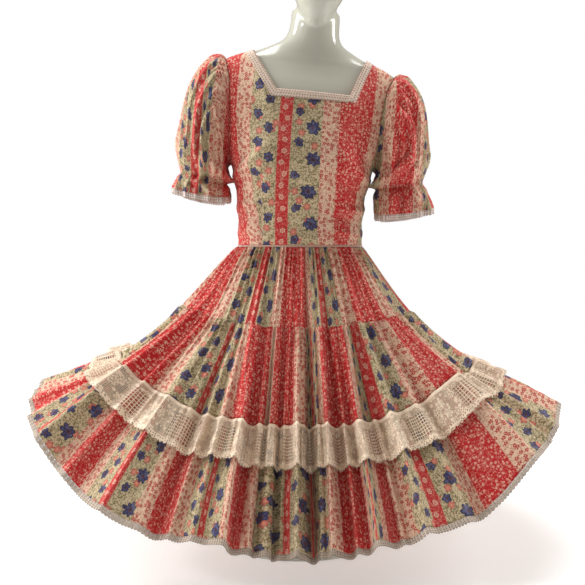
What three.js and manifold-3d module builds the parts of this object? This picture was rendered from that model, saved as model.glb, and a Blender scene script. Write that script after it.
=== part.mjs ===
// A square dance dress worn on a limbless dress form: fitted bodice, puffed sleeves, three gathered
// skirt tiers, a lace flounce over the last tier, lace edgings and a zip down the centre back.
// Millimetres, +Z up. The origin is the middle of the base's underside, and the dress faces -Y.
import * as THREE from "three";
import { mergeVertices } from "three/addons/utils/BufferGeometryUtils.js";
import Module from "manifold-3d";

// Driving dimensions
const WAIST_Z = 590; // height of the waist seam above the surface that the base stands on
const CLOTH = 1.5; // thickness of the cotton
const LACE = 1.2; // thickness of the lace and edgings
const SEAM_GAP = 0.4; // left between pieces that are sewn together
const ARMHOLE_GAP = 1.2; // the same where the round sleeve meets the flat facets of the bodice
const EASE = 5; // between the form and the bodice
const LEAN = THREE.MathUtils.degToRad(6.5); // the torso bends sideways this far at the shoulders
const SHOULDER_RISE = 364; // shoulder line above the waist

// The figure: height above the waist, half width, depth in front, depth behind, squareness
const FIGURE = [
  { up: -232, wide: 96, front: 66, back: 80, square: 2 },
  { up: -222, wide: 128, front: 88, back: 106, square: 2 },
  { up: -195, wide: 152, front: 99, back: 122, square: 2 },
  { up: -150, wide: 158, front: 98, back: 124, square: 2 },
  { up: -90, wide: 147, front: 93, back: 112, square: 2 },
  { up: -40, wide: 129, front: 88, back: 96, square: 2 },
  { up: 0, wide: 121, front: 87, back: 86, square: 2 },
  { up: 45, wide: 121, front: 92, back: 87, square: 2.05 },
  { up: 90, wide: 124, front: 102, back: 91, square: 2.15 },
  { up: 130, wide: 132, front: 114, back: 97, square: 2.3 },
  { up: 165, wide: 141, front: 120, back: 101, square: 2.4 },
  { up: 205, wide: 151, front: 116, back: 104, square: 2.5 },
  { up: 250, wide: 161, front: 106, back: 103, square: 2.5 },
  { up: 290, wide: 169, front: 94, back: 96, square: 2.5 },
  { up: 322, wide: 176, front: 80, back: 85, square: 2.4 },
  { up: 342, wide: 178, front: 69, back: 77, square: 2.3 },
  { up: 356, wide: 174, front: 62, back: 71, square: 2.2 },
  { up: 364, wide: 166, front: 58, back: 68, square: 2.2 },
  { up: 372, wide: 151, front: 56, back: 65, square: 2.2 },
  { up: 381, wide: 129, front: 53, back: 62, square: 2.1 },
  { up: 391, wide: 106, front: 51, back: 59, square: 2 },
  { up: 402, wide: 84, front: 50, back: 56, square: 2 },
  { up: 413, wide: 65, front: 50, back: 54, square: 2 },
  { up: 426, wide: 55, front: 50, back: 52, square: 2 },
  { up: 445, wide: 51, front: 50, back: 50, square: 2 },
  { up: 480, wide: 50, front: 50, back: 49, square: 2 },
  { up: 512, wide: 44, front: 50, back: 42, square: 2 },
];
const BUST = { across: 78, up: 168, rise: 12, spreadAcross: 46, spreadUp: 52 };
const FORM_RINGS = [
  -232, -222, -195, -140, -70, 0, 60, 115, 165, 215, 265, 305, 335, 352, 368, 384, 400, 416, 440, 478,
]; // heights of the form's own rings: its neck ends inside the head
const HEAD = { up: 553, high: 112, wide: 74, deep: 88, forward: 24, chin: 22, taper: 0.36, widest: 0.3 };

// Square neckline, worn a little to one side: where its two sides cross the shoulder seam, and its
// height above the waist and two corners in front and behind
const NECK_POINT = { right: -120, left: 111, up: 386 };
const NECK_FRONT = { right: -60, left: 84, up: 302 };
const NECK_BACK = { right: -88, left: 79, up: 347 };
const NECK_TRIM = 16; // width of the neckline's lace edging
const NECK_TRIM_IN = 0.5; // from the bodice's own edge to the edging's
const ARMHOLE = { up: 262, high: 102, deep: 62 };
const BODICE_TOP = 401;

// Sleeve rings: outer and inner end of each ring, half depth, and how far its pleats stand out. The
// last row is the casing, and the ruffle below it hangs lower on the left sleeve than on the right.
const SLEEVE = [
  { outX: 171, outZ: 364, inX: 152, inZ: 161, deep: 62, pleat: 0 },
  { outX: 186, outZ: 366, inX: 153, inZ: 158, deep: 72, pleat: 2 },
  { outX: 204, outZ: 356, inX: 153, inZ: 154, deep: 79, pleat: 4 },
  { outX: 224, outZ: 333, inX: 152, inZ: 150, deep: 83, pleat: 5 },
  { outX: 240, outZ: 296, inX: 151, inZ: 146, deep: 85, pleat: 5 },
  { outX: 248, outZ: 248, inX: 150, inZ: 141, deep: 82, pleat: 5 },
  { outX: 249, outZ: 194, inX: 149, inZ: 134, deep: 75, pleat: 5 },
  { outX: 251, outZ: 142, inX: 148, inZ: 120, deep: 58, pleat: 4 },
];
const SLEEVE_HEMS = {
  left: { outX: 266, outZ: 86, inX: 155, inZ: 70, deep: 78, pleat: 7 },
  right: { outX: 257, outZ: 112, inX: 146, inZ: 98, deep: 76, pleat: 7 },
};
const SLEEVE_SAG = 9; // the ruffle hangs this much lower in front and behind
const SLEEVE_PLEATS = [
  { at: 8, wide: 13 },
  { at: 44, wide: 15 },
  { at: 82, wide: 16 },
  { at: 128, wide: 20 },
  { at: 205, wide: 22 },
  { at: 250, wide: 18 },
  { at: 290, wide: 15 },
  { at: 326, wide: 13 },
];
const SLEEVE_TRIM = 12; // width of the lace edging at the sleeve hem
const TRIM_IN = 0.2; // the edging's outer face lies this far inside the sleeve's

// Skirt: length of each tier down the cloth, and of the lace that hangs from the last seam
const TIERS = [164, 184, 226];
const FLOUNCE = 84;
const FLOUNCE_LIFT = 4.5; // its lower edge stands this far off the tier under it
const HEM_TRIM = 12;
// Where the two tier seams and the hem lie, by direction in degrees: 0 is the front, 90 is +X. Each is
// so far out from the middle and so far down from the waist seam, without the folds.
const SKIRT = [
  { at: -180, out1: 165, down1: 150, out2: 270, down2: 295, out3: 470, down3: 412 },
  { at: -135, out1: 190, down1: 143, out2: 310, down2: 275, out3: 490, down3: 388 },
  { at: -110, out1: 226, down1: 126, out2: 354, down2: 236, out3: 522, down3: 312 },
  { at: -90, out1: 244, down1: 117, out2: 376, down2: 224, out3: 545, down3: 280 },
  { at: -75, out1: 224, down1: 124, out2: 362, down2: 232, out3: 530, down3: 318 },
  { at: -60, out1: 200, down1: 135, out2: 330, down2: 255, out3: 498, down3: 389 },
  { at: -45, out1: 180, down1: 145, out2: 290, down2: 294, out3: 450, down3: 459 },
  { at: -25, out1: 162, down1: 152, out2: 243, down2: 320, out3: 373, down3: 497 },
  { at: 0, out1: 150, down1: 153, out2: 220, down2: 324, out3: 326, down3: 524 },
  { at: 25, out1: 162, down1: 152, out2: 243, down2: 320, out3: 373, down3: 497 },
  { at: 45, out1: 180, down1: 145, out2: 290, down2: 294, out3: 443, down3: 452 },
  { at: 60, out1: 202, down1: 137, out2: 330, down2: 246, out3: 486, down3: 374 },
  { at: 75, out1: 218, down1: 132, out2: 344, down2: 244, out3: 508, down3: 338 },
  { at: 90, out1: 225, down1: 132, out2: 346, down2: 246, out3: 508, down3: 332 },
  { at: 115, out1: 220, down1: 133, out2: 348, down2: 238, out3: 525, down3: 322 },
  { at: 135, out1: 190, down1: 142, out2: 330, down2: 244, out3: 538, down3: 298 },
  { at: 180, out1: 165, down1: 150, out2: 270, down2: 295, out3: 470, down3: 412 },
];
const HANG = THREE.MathUtils.degToRad(11.8); // folds in front hang this much steeper at the hem
// The skirt's largest folds across the front: place and half width in degrees, how far each stands
// out (ridge) or goes in (trough) at the hem, and how far down the cloth it starts
const FOLDS = [
  { at: -84, wide: 5, rise: -20, start: 60 },
  { at: -75, wide: 6, rise: 16, start: 160 },
  { at: -66, wide: 4.5, rise: -24, start: 40 },
  { at: -56, wide: 6, rise: 16, start: 200 },
  { at: -47, wide: 4.5, rise: -26, start: 60 },
  { at: -33.5, wide: 3.6, rise: 26, start: 60 },
  { at: -28.5, wide: 3, rise: -22, start: 100 },
  { at: -20, wide: 3, rise: -16, start: 200 },
  { at: -15.5, wide: 3, rise: 24, start: 120 },
  { at: -11.5, wide: 2.6, rise: -34, start: 60 },
  { at: -2, wide: 2.6, rise: 22, start: 200 },
  { at: 5.5, wide: 2.8, rise: -44, start: 40 },
  { at: 13, wide: 7, rise: 14, start: 60 },
  { at: 21.5, wide: 2.8, rise: -28, start: 60 },
  { at: 28.5, wide: 3, rise: -20, start: 180 },
  { at: 33, wide: 3.2, rise: 26, start: 100 },
  { at: 38, wide: 3.4, rise: -26, start: 80 },
  { at: 47, wide: 6, rise: 18, start: 180 },
  { at: 56, wide: 4.5, rise: -24, start: 60 },
  { at: 66, wide: 6, rise: 16, start: 180 },
  { at: 76, wide: 4.5, rise: -22, start: 60 },
  { at: 86, wide: 5, rise: 14, start: 200 },
];
const BACK_SHIFT = 3.5; // the back's folds are the front's, mirrored and turned by this many degrees
const PIPING = 1.5; // radius of the waist piping

// Zip down the centre back
const ZIP_WIDE = 6;
const ZIP_THICK = 1.8;
const SLIDER = { wide: 8, high: 11, deep: 3.6, below: 24 };
// The pull: its eye's outer radius, the bore in it, the pin's radius, the ears that hold the pin
const PULL = { wide: 5, long: 24, thick: 1.2, eye: 1.7, bore: 1, pin: 0.6, ear: 1.2, earHigh: 4 };
const PULL_GAP = 0.35; // between the pull's eye and its ears and the slider's face

// Stand: a pole in a socket under the form and in the hub of a round base
const BASE = { radius: 175, thick: 10, dome: 3, hub: 24, hubHigh: 42, taper: 3, floor: 6 };
const POLE = { radius: 12.5, clear: 0.4 };
const SOCKET = { radius: 32, high: 46, deep: 34, wall: 5, rim: 10 };

const wasm = await Module();
wasm.setup();
const rad = THREE.MathUtils.degToRad;
const V = (x, y, z) => new THREE.Vector3(x, y, z);

// A column of a table at a place between its rows, along a smooth curve through them
function read(table, key, column, at) {
  const last = table.length - 1;
  const clamped = Math.min(Math.max(at, table[0][key]), table[last][key]);
  let i = 0;
  while (i < last - 1 && clamped > table[i + 1][key]) i += 1;
  const slope = (k) => {
    const a = table[Math.max(k - 1, 0)];
    const b = table[Math.min(k + 1, last)];
    return (b[column] - a[column]) / (b[key] - a[key]);
  };
  const span = table[i + 1][key] - table[i][key];
  const t = (clamped - table[i][key]) / span;
  const t2 = t * t;
  const t3 = t2 * t;
  return (
    (2 * t3 - 3 * t2 + 1) * table[i][column] +
    (t3 - 2 * t2 + t) * span * slope(i) +
    (3 * t2 - 2 * t3) * table[i + 1][column] +
    (t3 - t2) * span * slope(i + 1)
  );
}

// The figure, upright, about the middle of the waist. Angle 0 is the front and 90 degrees is +X.
function figure(angle, up, out) {
  const s = Math.sin(angle);
  const c = Math.cos(angle);
  const power = 2 / read(FIGURE, "up", "square", up);
  const deep = read(FIGURE, "up", c > 0 ? "front" : "back", up) + out;
  const x = (read(FIGURE, "up", "wide", up) + out) * Math.sign(s) * Math.abs(s) ** power;
  const y = -deep * Math.sign(c) * Math.abs(c) ** power;
  const across = (Math.abs(x) - BUST.across) / BUST.spreadAcross;
  const rise = (up - BUST.up) / BUST.spreadUp;
  const bust = c > 0 ? BUST.rise * c ** 0.5 * Math.exp(-across * across - rise * rise) : 0;
  return V(x, y - bust, up);
}

// The inner face of the bodice, moved out square to itself
function overFigure(angle, up, out) {
  const step = 0.01;
  const around = figure(angle + step, up, EASE).sub(figure(angle - step, up, EASE));
  const along = figure(angle, up + 1, EASE).sub(figure(angle, up - 1, EASE));
  return figure(angle, up, EASE).addScaledVector(around.cross(along).normalize(), out);
}

// Where the figure's side lies at a given depth and height
function sideAt(y, up, out) {
  const n = read(FIGURE, "up", "square", up);
  const deep = read(FIGURE, "up", y < 0 ? "front" : "back", up) + out;
  const share = Math.min(Math.abs(y) / deep, 1) ** n;
  return (read(FIGURE, "up", "wide", up) + out) * (1 - share) ** (1 / n);
}

// The sideways bend of the torso, and its lift to the waist's real height
function lean(p) {
  const up = Math.max(p.z, 0);
  const bent = Math.min(up, SHOULDER_RISE);
  const angle = (LEAN * bent) / SHOULDER_RISE;
  const shift = (angle * bent) / 2 + Math.sin(LEAN) * (up - bent);
  return V(shift + p.x * Math.cos(angle), p.y, WAIST_Z + p.z - p.x * Math.sin(angle));
}

function mesh(points, faces) {
  const numbers = new Float32Array(points.flatMap((p) => [p.x, p.y, p.z]));
  const geometry = new THREE.BufferGeometry();
  geometry.setAttribute("position", new THREE.BufferAttribute(numbers, 3));
  geometry.setIndex(faces);
  return geometry;
}

// A closed wall between an outer and an inner grid of points, each a list of rows
function wall(outer, inner, ring) {
  const rows = outer.length;
  const cols = outer[0].length;
  const points = [...outer.flat(), ...inner.flat()];
  const faces = [];
  const quad = (a, b, c, d) => faces.push(a, b, c, a, c, d);
  const side = rows * cols;
  const steps = ring ? cols : cols - 1;
  for (let j = 0; j < rows - 1; j += 1)
    for (let i = 0; i < steps; i += 1) {
      const k = (i + 1) % cols;
      const a = j * cols + i;
      const b = j * cols + k;
      quad(a, a + cols, b + cols, b);
      quad(side + a, side + b, side + b + cols, side + a + cols);
    }
  for (let i = 0; i < steps; i += 1) {
    const k = (i + 1) % cols;
    const end = (rows - 1) * cols;
    quad(i, k, side + k, side + i);
    quad(end + k, end + i, side + end + i, side + end + k);
  }
  if (!ring)
    for (let j = 0; j < rows - 1; j += 1) {
      const a = j * cols;
      const z = a + cols - 1;
      quad(a + cols, a, side + a, side + a + cols);
      quad(z, z + cols, side + z + cols, side + z);
    }
  return mesh(points, faces);
}

function grid(rows, cols, at) {
  const row = (v) => Array.from({ length: cols }, (_, i) => at(v, i));
  return Array.from({ length: rows }, (_, j) => row(j / (rows - 1)));
}

// Solids for cutting and joining
function solid(geometry) {
  const bare = geometry.clone();
  bare.deleteAttribute("normal");
  bare.deleteAttribute("uv");
  const g = mergeVertices(bare, 1e-4);
  return new wasm.Manifold(
    new wasm.Mesh({
      numProp: 3,
      vertProperties: new Float32Array(g.attributes.position.array),
      triVerts: new Uint32Array(g.index.array),
    }),
  );
}

function surface(made, move = (p) => p) {
  const { numVert, numProp, vertProperties, triVerts } = made.getMesh();
  const points = Array.from({ length: numVert }, (_, i) => {
    const [x, y, z] = vertProperties.subarray(i * numProp, i * numProp + 3);
    return move(V(x, y, z));
  });
  return mesh(points, [...triVerts]);
}

const MATERIALS = {
  print: new THREE.MeshStandardMaterial({ color: 0xc98d7c, roughness: 0.9 }),
  lace: new THREE.MeshStandardMaterial({ color: 0xe6ddcd, roughness: 0.95 }),
  piping: new THREE.MeshStandardMaterial({ color: 0xe8c9bd, roughness: 0.9 }),
  zip: new THREE.MeshStandardMaterial({ color: 0xe9e2d6, roughness: 0.6 }),
  metal: new THREE.MeshStandardMaterial({ color: 0xc9c8c4, roughness: 0.35, metalness: 0.9 }),
  shell: new THREE.MeshStandardMaterial({ color: 0xd9d8cd, roughness: 0.35 }),
};

const dress = new THREE.Group();
function add(name, geometry, material, parent = dress) {
  const node = new THREE.Mesh(geometry, MATERIALS[material]);
  node.name = name;
  parent.add(node);
}

// A prism of an outline in X and Z that runs from one depth to another
function prism(outline, near, far) {
  const shape = new THREE.Shape(outline.map(([x, z]) => new THREE.Vector2(x, z)));
  const g = new THREE.ExtrudeGeometry(shape, { depth: far - near, bevelEnabled: false });
  g.rotateX(Math.PI / 2);
  g.translate(0, far, 0);
  return solid(g);
}

// The space inside the neckline, grown by a margin, in front or behind
function neckSide(neck, margin, near, far) {
  const top = FIGURE[FIGURE.length - 1].up;
  const low = neck.up - margin;
  const edge = (key, way) => {
    const run = (NECK_POINT[key] - neck[key]) / (NECK_POINT.up - neck.up);
    const at = (up) => neck[key] + run * (up - neck.up) + way * margin * Math.hypot(1, run);
    return [[at(low), low], [at(top), top]];
  };
  const [rightLow, rightTop] = edge("right", -1);
  const [leftLow, leftTop] = edge("left", 1);
  return prism([rightLow, leftLow, leftTop, rightTop], near, far);
}
const DEEP = 300;
const neckSpace = (margin) =>
  neckSide(NECK_FRONT, margin, -DEEP, 0).add(neckSide(NECK_BACK, margin, 0, DEEP));

function armholeSpace(side) {
  const g = new THREE.CylinderGeometry(1, 1, 200, 32);
  g.rotateZ(Math.PI / 2);
  g.scale(1, ARMHOLE.deep, ARMHOLE.high);
  g.translate(side * 200, 0, ARMHOLE.up);
  return solid(g);
}

// A panel of the bodice between two angles, before the neckline and armholes are cut
function panel(from, to, cols, inside, thick, low, shift) {
  const rows = 14;
  const layer = (out) =>
    grid(rows, cols, (v, i) => {
      const angle = rad(from + ((to - from) * i) / (cols - 1));
      const p = overFigure(angle, low + (BODICE_TOP - low) * v, out);
      return V(p.x, p.y + shift, p.z);
    });
  // rows run upwards here, so the layers are given inside out to keep the faces outwards
  return solid(wall(layer(inside), layer(inside + thick), false));
}

function bodice() {
  const low = PIPING + SEAM_GAP;
  const side = SEAM_GAP / 2;
  const slit = ZIP_WIDE / 2 + SEAM_GAP;
  const zipSpace = prism([[-slit, -DEEP], [slit, -DEEP], [slit, 2 * DEEP], [-slit, 2 * DEEP]], 0, DEEP);
  const cut = neckSpace(0).add(armholeSpace(1)).add(armholeSpace(-1)).add(zipSpace);
  const trimmed = neckSpace(NECK_TRIM).subtract(neckSpace(NECK_TRIM_IN)).subtract(zipSpace);
  const pieces = [
    { name: "front", from: -90, to: 90, cols: 25, shift: -side },
    { name: "back_left", from: 90, to: 180, cols: 12, shift: side },
    { name: "back_right", from: -180, to: -90, cols: 12, shift: side },
  ];
  for (const { name, from, to, cols, shift } of pieces) {
    const cloth = panel(from, to, cols, 0, CLOTH, low, shift).subtract(cut);
    add("bodice_" + name, surface(cloth, lean), "print");
    const edging = panel(from, to, cols, CLOTH + SEAM_GAP, LACE, low, shift).intersect(trimmed);
    add("neck_trim_" + name, surface(edging, lean), "lace");
  }
}

// The rings of one sleeve, with the ruffle's middle and hem after the casing
function sleeveRows(name) {
  const casing = SLEEVE[SLEEVE.length - 1];
  const hem = SLEEVE_HEMS[name];
  const middle = {};
  for (const key of Object.keys(hem)) middle[key] = casing[key] * 0.42 + hem[key] * 0.58;
  return [...SLEEVE, middle, hem].map((row, i) => ({ ...row, i }));
}

// Point of a sleeve: turn goes round the ring from its outer end, along is the row of the table
function sleevePoint(rows, side, turn, along, out) {
  const armholeY = ARMHOLE.deep * Math.sin(turn);
  const armholeZ = ARMHOLE.up + ARMHOLE.high * Math.cos(turn);
  const hung = V(side * sideAt(armholeY, armholeZ, EASE + CLOTH), armholeY, armholeZ);
  const at = (column) => read(rows, "i", column, along);
  const middle = V((at("outX") + at("inX")) / 2, 0, (at("outZ") + at("inZ")) / 2);
  const half = V((at("outX") - at("inX")) / 2, 0, (at("outZ") - at("inZ")) / 2);
  const radial = V(half.x * Math.cos(turn), at("deep") * Math.sin(turn), half.z * Math.cos(turn));
  let pleat = 0;
  for (const fold of SLEEVE_PLEATS) {
    const away = ((THREE.MathUtils.radToDeg(turn) - fold.at + 540) % 360) - 180;
    pleat += Math.exp(-((away / fold.wide) ** 2));
  }
  const grown = 1 + (at("pleat") * (pleat - 0.4) + out) / radial.length();
  const free = middle.add(radial.multiplyScalar(grown));
  const last = rows.length - 1;
  const belowCasing = Math.max(along - (SLEEVE.length - 1), 0) / (last - SLEEVE.length + 1);
  free.z -= SLEEVE_SAG * belowCasing * Math.abs(Math.sin(turn));
  free.x *= side;
  const seam = hung.clone().add(V(side * ARMHOLE_GAP, 0, 0));
  seam.add(radial.setX(0).normalize().multiplyScalar(out));
  const mix = Math.min(along, 1);
  return lean(seam.lerp(free, mix * mix * (3 - 2 * mix)));
}

function sleeve(side, name) {
  const cols = 22;
  const rows = sleeveRows(name);
  const turn = (i) => (side * (2 * Math.PI * i)) / cols;
  const last = rows.length - 1;
  const layer = (out) => grid(rows.length, cols, (v, i) => sleevePoint(rows, side, turn(i), last * v, out));
  add("sleeve_" + name, wall(layer(CLOTH), layer(0), true), "print");
  const edge = (out) =>
    grid(2, cols, (v, i) => {
      const p = sleevePoint(rows, side, turn(i), last, out);
      return V(p.x, p.y, p.z - SEAM_GAP - SLEEVE_TRIM * v);
    });
  add("sleeve_trim_" + name, wall(edge(CLOTH - TRIM_IN), edge(CLOTH - TRIM_IN - LACE), true), "lace");
}

// How far a fold has grown at a distance down the cloth
function growth(fold, down) {
  const t = Math.min(Math.max((down - fold.start) / (SKIRT_LENGTH - fold.start), 0), 1);
  return t ** 0.8;
}
const SKIRT_LENGTH = TIERS[0] + TIERS[1] + TIERS[2];

function foldRise(degrees, down) {
  const wrapped = ((degrees + 540) % 360) - 180;
  const front = Math.abs(wrapped) <= 90;
  const mirrored = wrapped > 0 ? 180 - wrapped : -180 - wrapped;
  const place = front ? wrapped : mirrored + BACK_SHIFT;
  let rise = 0;
  for (const fold of FOLDS) {
    const away = (place - fold.at) / fold.wide;
    rise += fold.rise * growth(fold, down) * Math.exp(-away * away);
  }
  const toSide = Math.abs(Math.abs(wrapped) - 90);
  const calmSide = front ? 1 : Math.min(toSide / 6, 1);
  const fromZip = (180 - Math.abs(wrapped)) / 9;
  const calmZip = down < TIERS[0] ? 1 - Math.exp(-fromZip * fromZip) : 1;
  return rise * calmSide * calmZip;
}

// The skirt without its folds: a smooth curve from the waist through the two seams to the hem
function bell(angle, down) {
  const wide = read(FIGURE, "up", "wide", 0) + EASE + CLOTH;
  const deep = read(FIGURE, "up", "front", 0) + EASE + CLOTH;
  const share = Math.min(down / SKIRT_LENGTH, 1);
  const turned = angle - HANG * share * Math.sin(2 * angle);
  const degrees = ((THREE.MathUtils.radToDeg(turned) + 540) % 360) - 180;
  const waist = (wide * deep) / Math.hypot(deep * Math.sin(turned), wide * Math.cos(turned));
  const at = (column) => read(SKIRT, "at", column, degrees);
  const curve = [
    { along: 0, out: waist, drop: 0 },
    { along: TIERS[0], out: at("out1"), drop: at("down1") },
    { along: TIERS[0] + TIERS[1], out: at("out2"), drop: at("down2") },
    { along: SKIRT_LENGTH, out: at("out3"), drop: at("down3") },
  ];
  const past = Math.max(down - SKIRT_LENGTH, 0) / TIERS[2];
  const beyond = (column) => past * (curve[3][column] - curve[2][column]);
  const out = read(curve, "along", "out", down) + beyond("out");
  const drop = read(curve, "along", "drop", down) + beyond("drop");
  return V(out * Math.sin(turned), -out * Math.cos(turned), -drop);
}

function skirtPoint(angle, down, out) {
  const p = bell(angle, down);
  const step = 0.02;
  const around = bell(angle + step, down).sub(bell(angle - step, down));
  const along = bell(angle, down + 2).sub(bell(angle, down - 2 > 0 ? down - 2 : 0));
  const normal = around.cross(along).normalize().negate();
  p.addScaledVector(normal, foldRise(THREE.MathUtils.radToDeg(angle), down) + out);
  return V(p.x, p.y, p.z + WAIST_Z);
}

// A band of the skirt between two distances down the cloth, with outer and inner faces
function band(name, material, from, to, rows, cols, outer, inner) {
  const at = (v) => from + (to - from) * v;
  const layer = (out) => grid(rows, cols, (v, i) => skirtPoint((2 * Math.PI * i) / cols, at(v), out(v)));
  add(name, wall(layer(outer), layer(inner), true), material);
}

function skirt() {
  const cols = 96;
  const half = SEAM_GAP / 2;
  const first = PIPING + SEAM_GAP;
  const seam1 = TIERS[0];
  const seam2 = TIERS[0] + TIERS[1];
  const slit = ZIP_WIDE / 2 + SEAM_GAP;
  // the first tier is open at the centre back, where the zip runs
  const openCols = 77;
  const layer = (out) =>
    grid(3, openCols, (v, i) => {
      const down = first + (seam1 - half - first) * v;
      const step = 0.01;
      const end = Math.PI - (slit * step) / bell(Math.PI - step, down).x;
      return skirtPoint(-end + (2 * end * i) / (openCols - 1), down, out);
    });
  add("skirt_tier_1", wall(layer(0), layer(-CLOTH), false), "print");
  band("skirt_tier_2", "print", seam1 + half, seam2 - half, 3, cols, () => 0, () => -CLOTH);
  band("skirt_tier_3", "print", seam2 + half, SKIRT_LENGTH, 4, cols, () => 0, () => -CLOTH);
  const lift = (v) => SEAM_GAP + FLOUNCE_LIFT * Math.sin(Math.PI * 0.5 * v);
  const lifted = (v) => lift(v) + LACE;
  band("lace_flounce", "lace", seam2 + half, seam2 + FLOUNCE, 2, cols, lifted, lift);
  const hem = SKIRT_LENGTH;
  band("hem_trim", "lace", hem + SEAM_GAP, hem + HEM_TRIM, 2, cols, () => 0, () => -LACE);
}

// Piping round the waist seam, open where the zip passes
function piping() {
  const cols = 73;
  const ring = 6;
  const edge = Math.asin((ZIP_WIDE / 2 + 2 * SEAM_GAP) / read(FIGURE, "up", "wide", 0));
  const at = (v, i) => {
    const angle = -Math.PI + edge + 2 * (Math.PI - edge) * v;
    const middle = figure(angle, 0, EASE + CLOTH / 2);
    const turn = (2 * Math.PI * i) / ring;
    const out = V(middle.x, middle.y, 0).normalize();
    const up = V(0, 0, WAIST_Z + PIPING * Math.sin(turn));
    return middle.addScaledVector(out, PIPING * Math.cos(turn)).add(up);
  };
  const rows = grid(cols, ring, at);
  const points = rows.flat();
  const faces = [];
  for (let j = 0; j < cols - 1; j += 1)
    for (let i = 0; i < ring; i += 1) {
      const k = (i + 1) % ring;
      const a = j * ring + i;
      const b = j * ring + k;
      faces.push(a, b + ring, b, a, a + ring, b + ring);
    }
  const end = (cols - 1) * ring;
  for (let i = 1; i < ring - 1; i += 1) {
    faces.push(0, i, i + 1);
    faces.push(end, end + i + 1, end + i);
  }
  add("waist_piping", mesh(points, faces), "piping");
}

// Middle of the zip at a distance below the waist (negative above it), moved out from the cloth
function zipMiddle(below, out) {
  if (below <= 0) return lean(overFigure(Math.PI, -below, CLOTH + out));
  return skirtPoint(Math.PI, below, out);
}

function zip() {
  const top = NECK_BACK.up - 2;
  const rows = 15;
  const layer = (out) =>
    grid(rows, 2, (v, i) => {
      const p = zipMiddle(-top + (top + TIERS[0] - SEAM_GAP) * v, out);
      return p.add(V((0.5 - i) * ZIP_WIDE, 0, 0));
    });
  add("zip_chain", wall(layer(0), layer(-ZIP_THICK), false), "zip");

  // slider near the top, square to the cloth, with its pull hanging from a pin between two ears
  const place = -(top - SLIDER.below);
  const here = zipMiddle(place, 0);
  const above = zipMiddle(place - 5, 0);
  const slope = Math.atan2(here.y - above.y, above.z - here.z);
  const tilt = Math.atan2(above.x - here.x, above.z - here.z);
  const holder = new THREE.Group();
  holder.position.copy(here);
  holder.rotation.set(slope, tilt, 0, "YXZ");
  dress.add(holder);

  const box = (w, d, h, x, y, z) => {
    const g = new THREE.BoxGeometry(w, d, h);
    g.translate(x, y, z);
    return solid(g);
  };
  const rod = (radius, long) => {
    const g = new THREE.CylinderGeometry(radius, radius, long, 16);
    g.rotateZ(Math.PI / 2);
    g.translate(0, pinY, 0);
    return solid(g);
  };
  const lift = SEAM_GAP; // the slider rides clear of the chain
  const face = lift + SLIDER.deep;
  const pinY = face + PULL.eye + PULL_GAP;
  const earIn = PULL.wide / 2 + PULL_GAP;
  const earDeep = 2 * PULL.eye + 1;
  const slider = box(SLIDER.wide, SLIDER.deep, SLIDER.high, 0, lift + SLIDER.deep / 2, 0)
    .add(box(PULL.ear, earDeep, PULL.earHigh, earIn + PULL.ear / 2, face + PULL.eye, 0))
    .add(box(PULL.ear, earDeep, PULL.earHigh, -earIn - PULL.ear / 2, face + PULL.eye, 0))
    .add(rod(PULL.pin, 2 * earIn + PULL.ear));
  add("zip_slider", surface(slider), "metal", holder);
  const tab = rod(PULL.eye, PULL.wide)
    .add(box(PULL.wide, PULL.thick, PULL.long, 0, pinY + PULL.eye - PULL.thick / 2, -PULL.long / 2))
    .subtract(rod(PULL.bore, PULL.wide + 1));
  add("zip_pull", surface(tab), "metal", holder);
}

// The limbless form: torso, neck and plain egg-shaped head in one smooth shell
function form() {
  const cols = 24;
  const rings = FORM_RINGS.map((up) =>
    Array.from({ length: cols }, (_, i) => lean(figure((2 * Math.PI * i) / cols, up, 0))),
  );
  const points = rings.flat();
  const faces = [];
  for (let j = 0; j < rings.length - 1; j += 1)
    for (let i = 0; i < cols; i += 1) {
      const k = (i + 1) % cols;
      const a = j * cols + i;
      const b = j * cols + k;
      faces.push(a, b, b + cols, a, b + cols, a + cols);
    }
  const end = (rings.length - 1) * cols;
  for (let i = 1; i < cols - 1; i += 1) {
    faces.push(0, i + 1, i);
    faces.push(end, end + i, end + i + 1);
  }
  const torso = mesh(points, faces);
  const egg = new THREE.SphereGeometry(1, 20, 14);
  egg.rotateX(Math.PI / 2);
  const place = egg.attributes.position;
  for (let i = 0; i < place.count; i += 1) {
    const z = place.getZ(i);
    const taper = (1 + HEAD.taper * z) / (1 + HEAD.taper * HEAD.widest);
    const forward = HEAD.forward + HEAD.chin * Math.max(-z, 0);
    const x = place.getX(i) * HEAD.wide * taper;
    const y = place.getY(i) * HEAD.deep * taper - forward;
    const p = lean(V(x, y, HEAD.up + z * HEAD.high));
    place.setXYZ(i, p.x, p.y, p.z);
  }
  add("form_body", surface(solid(torso).add(solid(egg))), "shell");
}

function turned(profile, segments) {
  const g = new THREE.LatheGeometry(profile.map(([r, z]) => new THREE.Vector2(r, z)), segments);
  g.rotateX(Math.PI / 2);
  return g;
}

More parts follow.
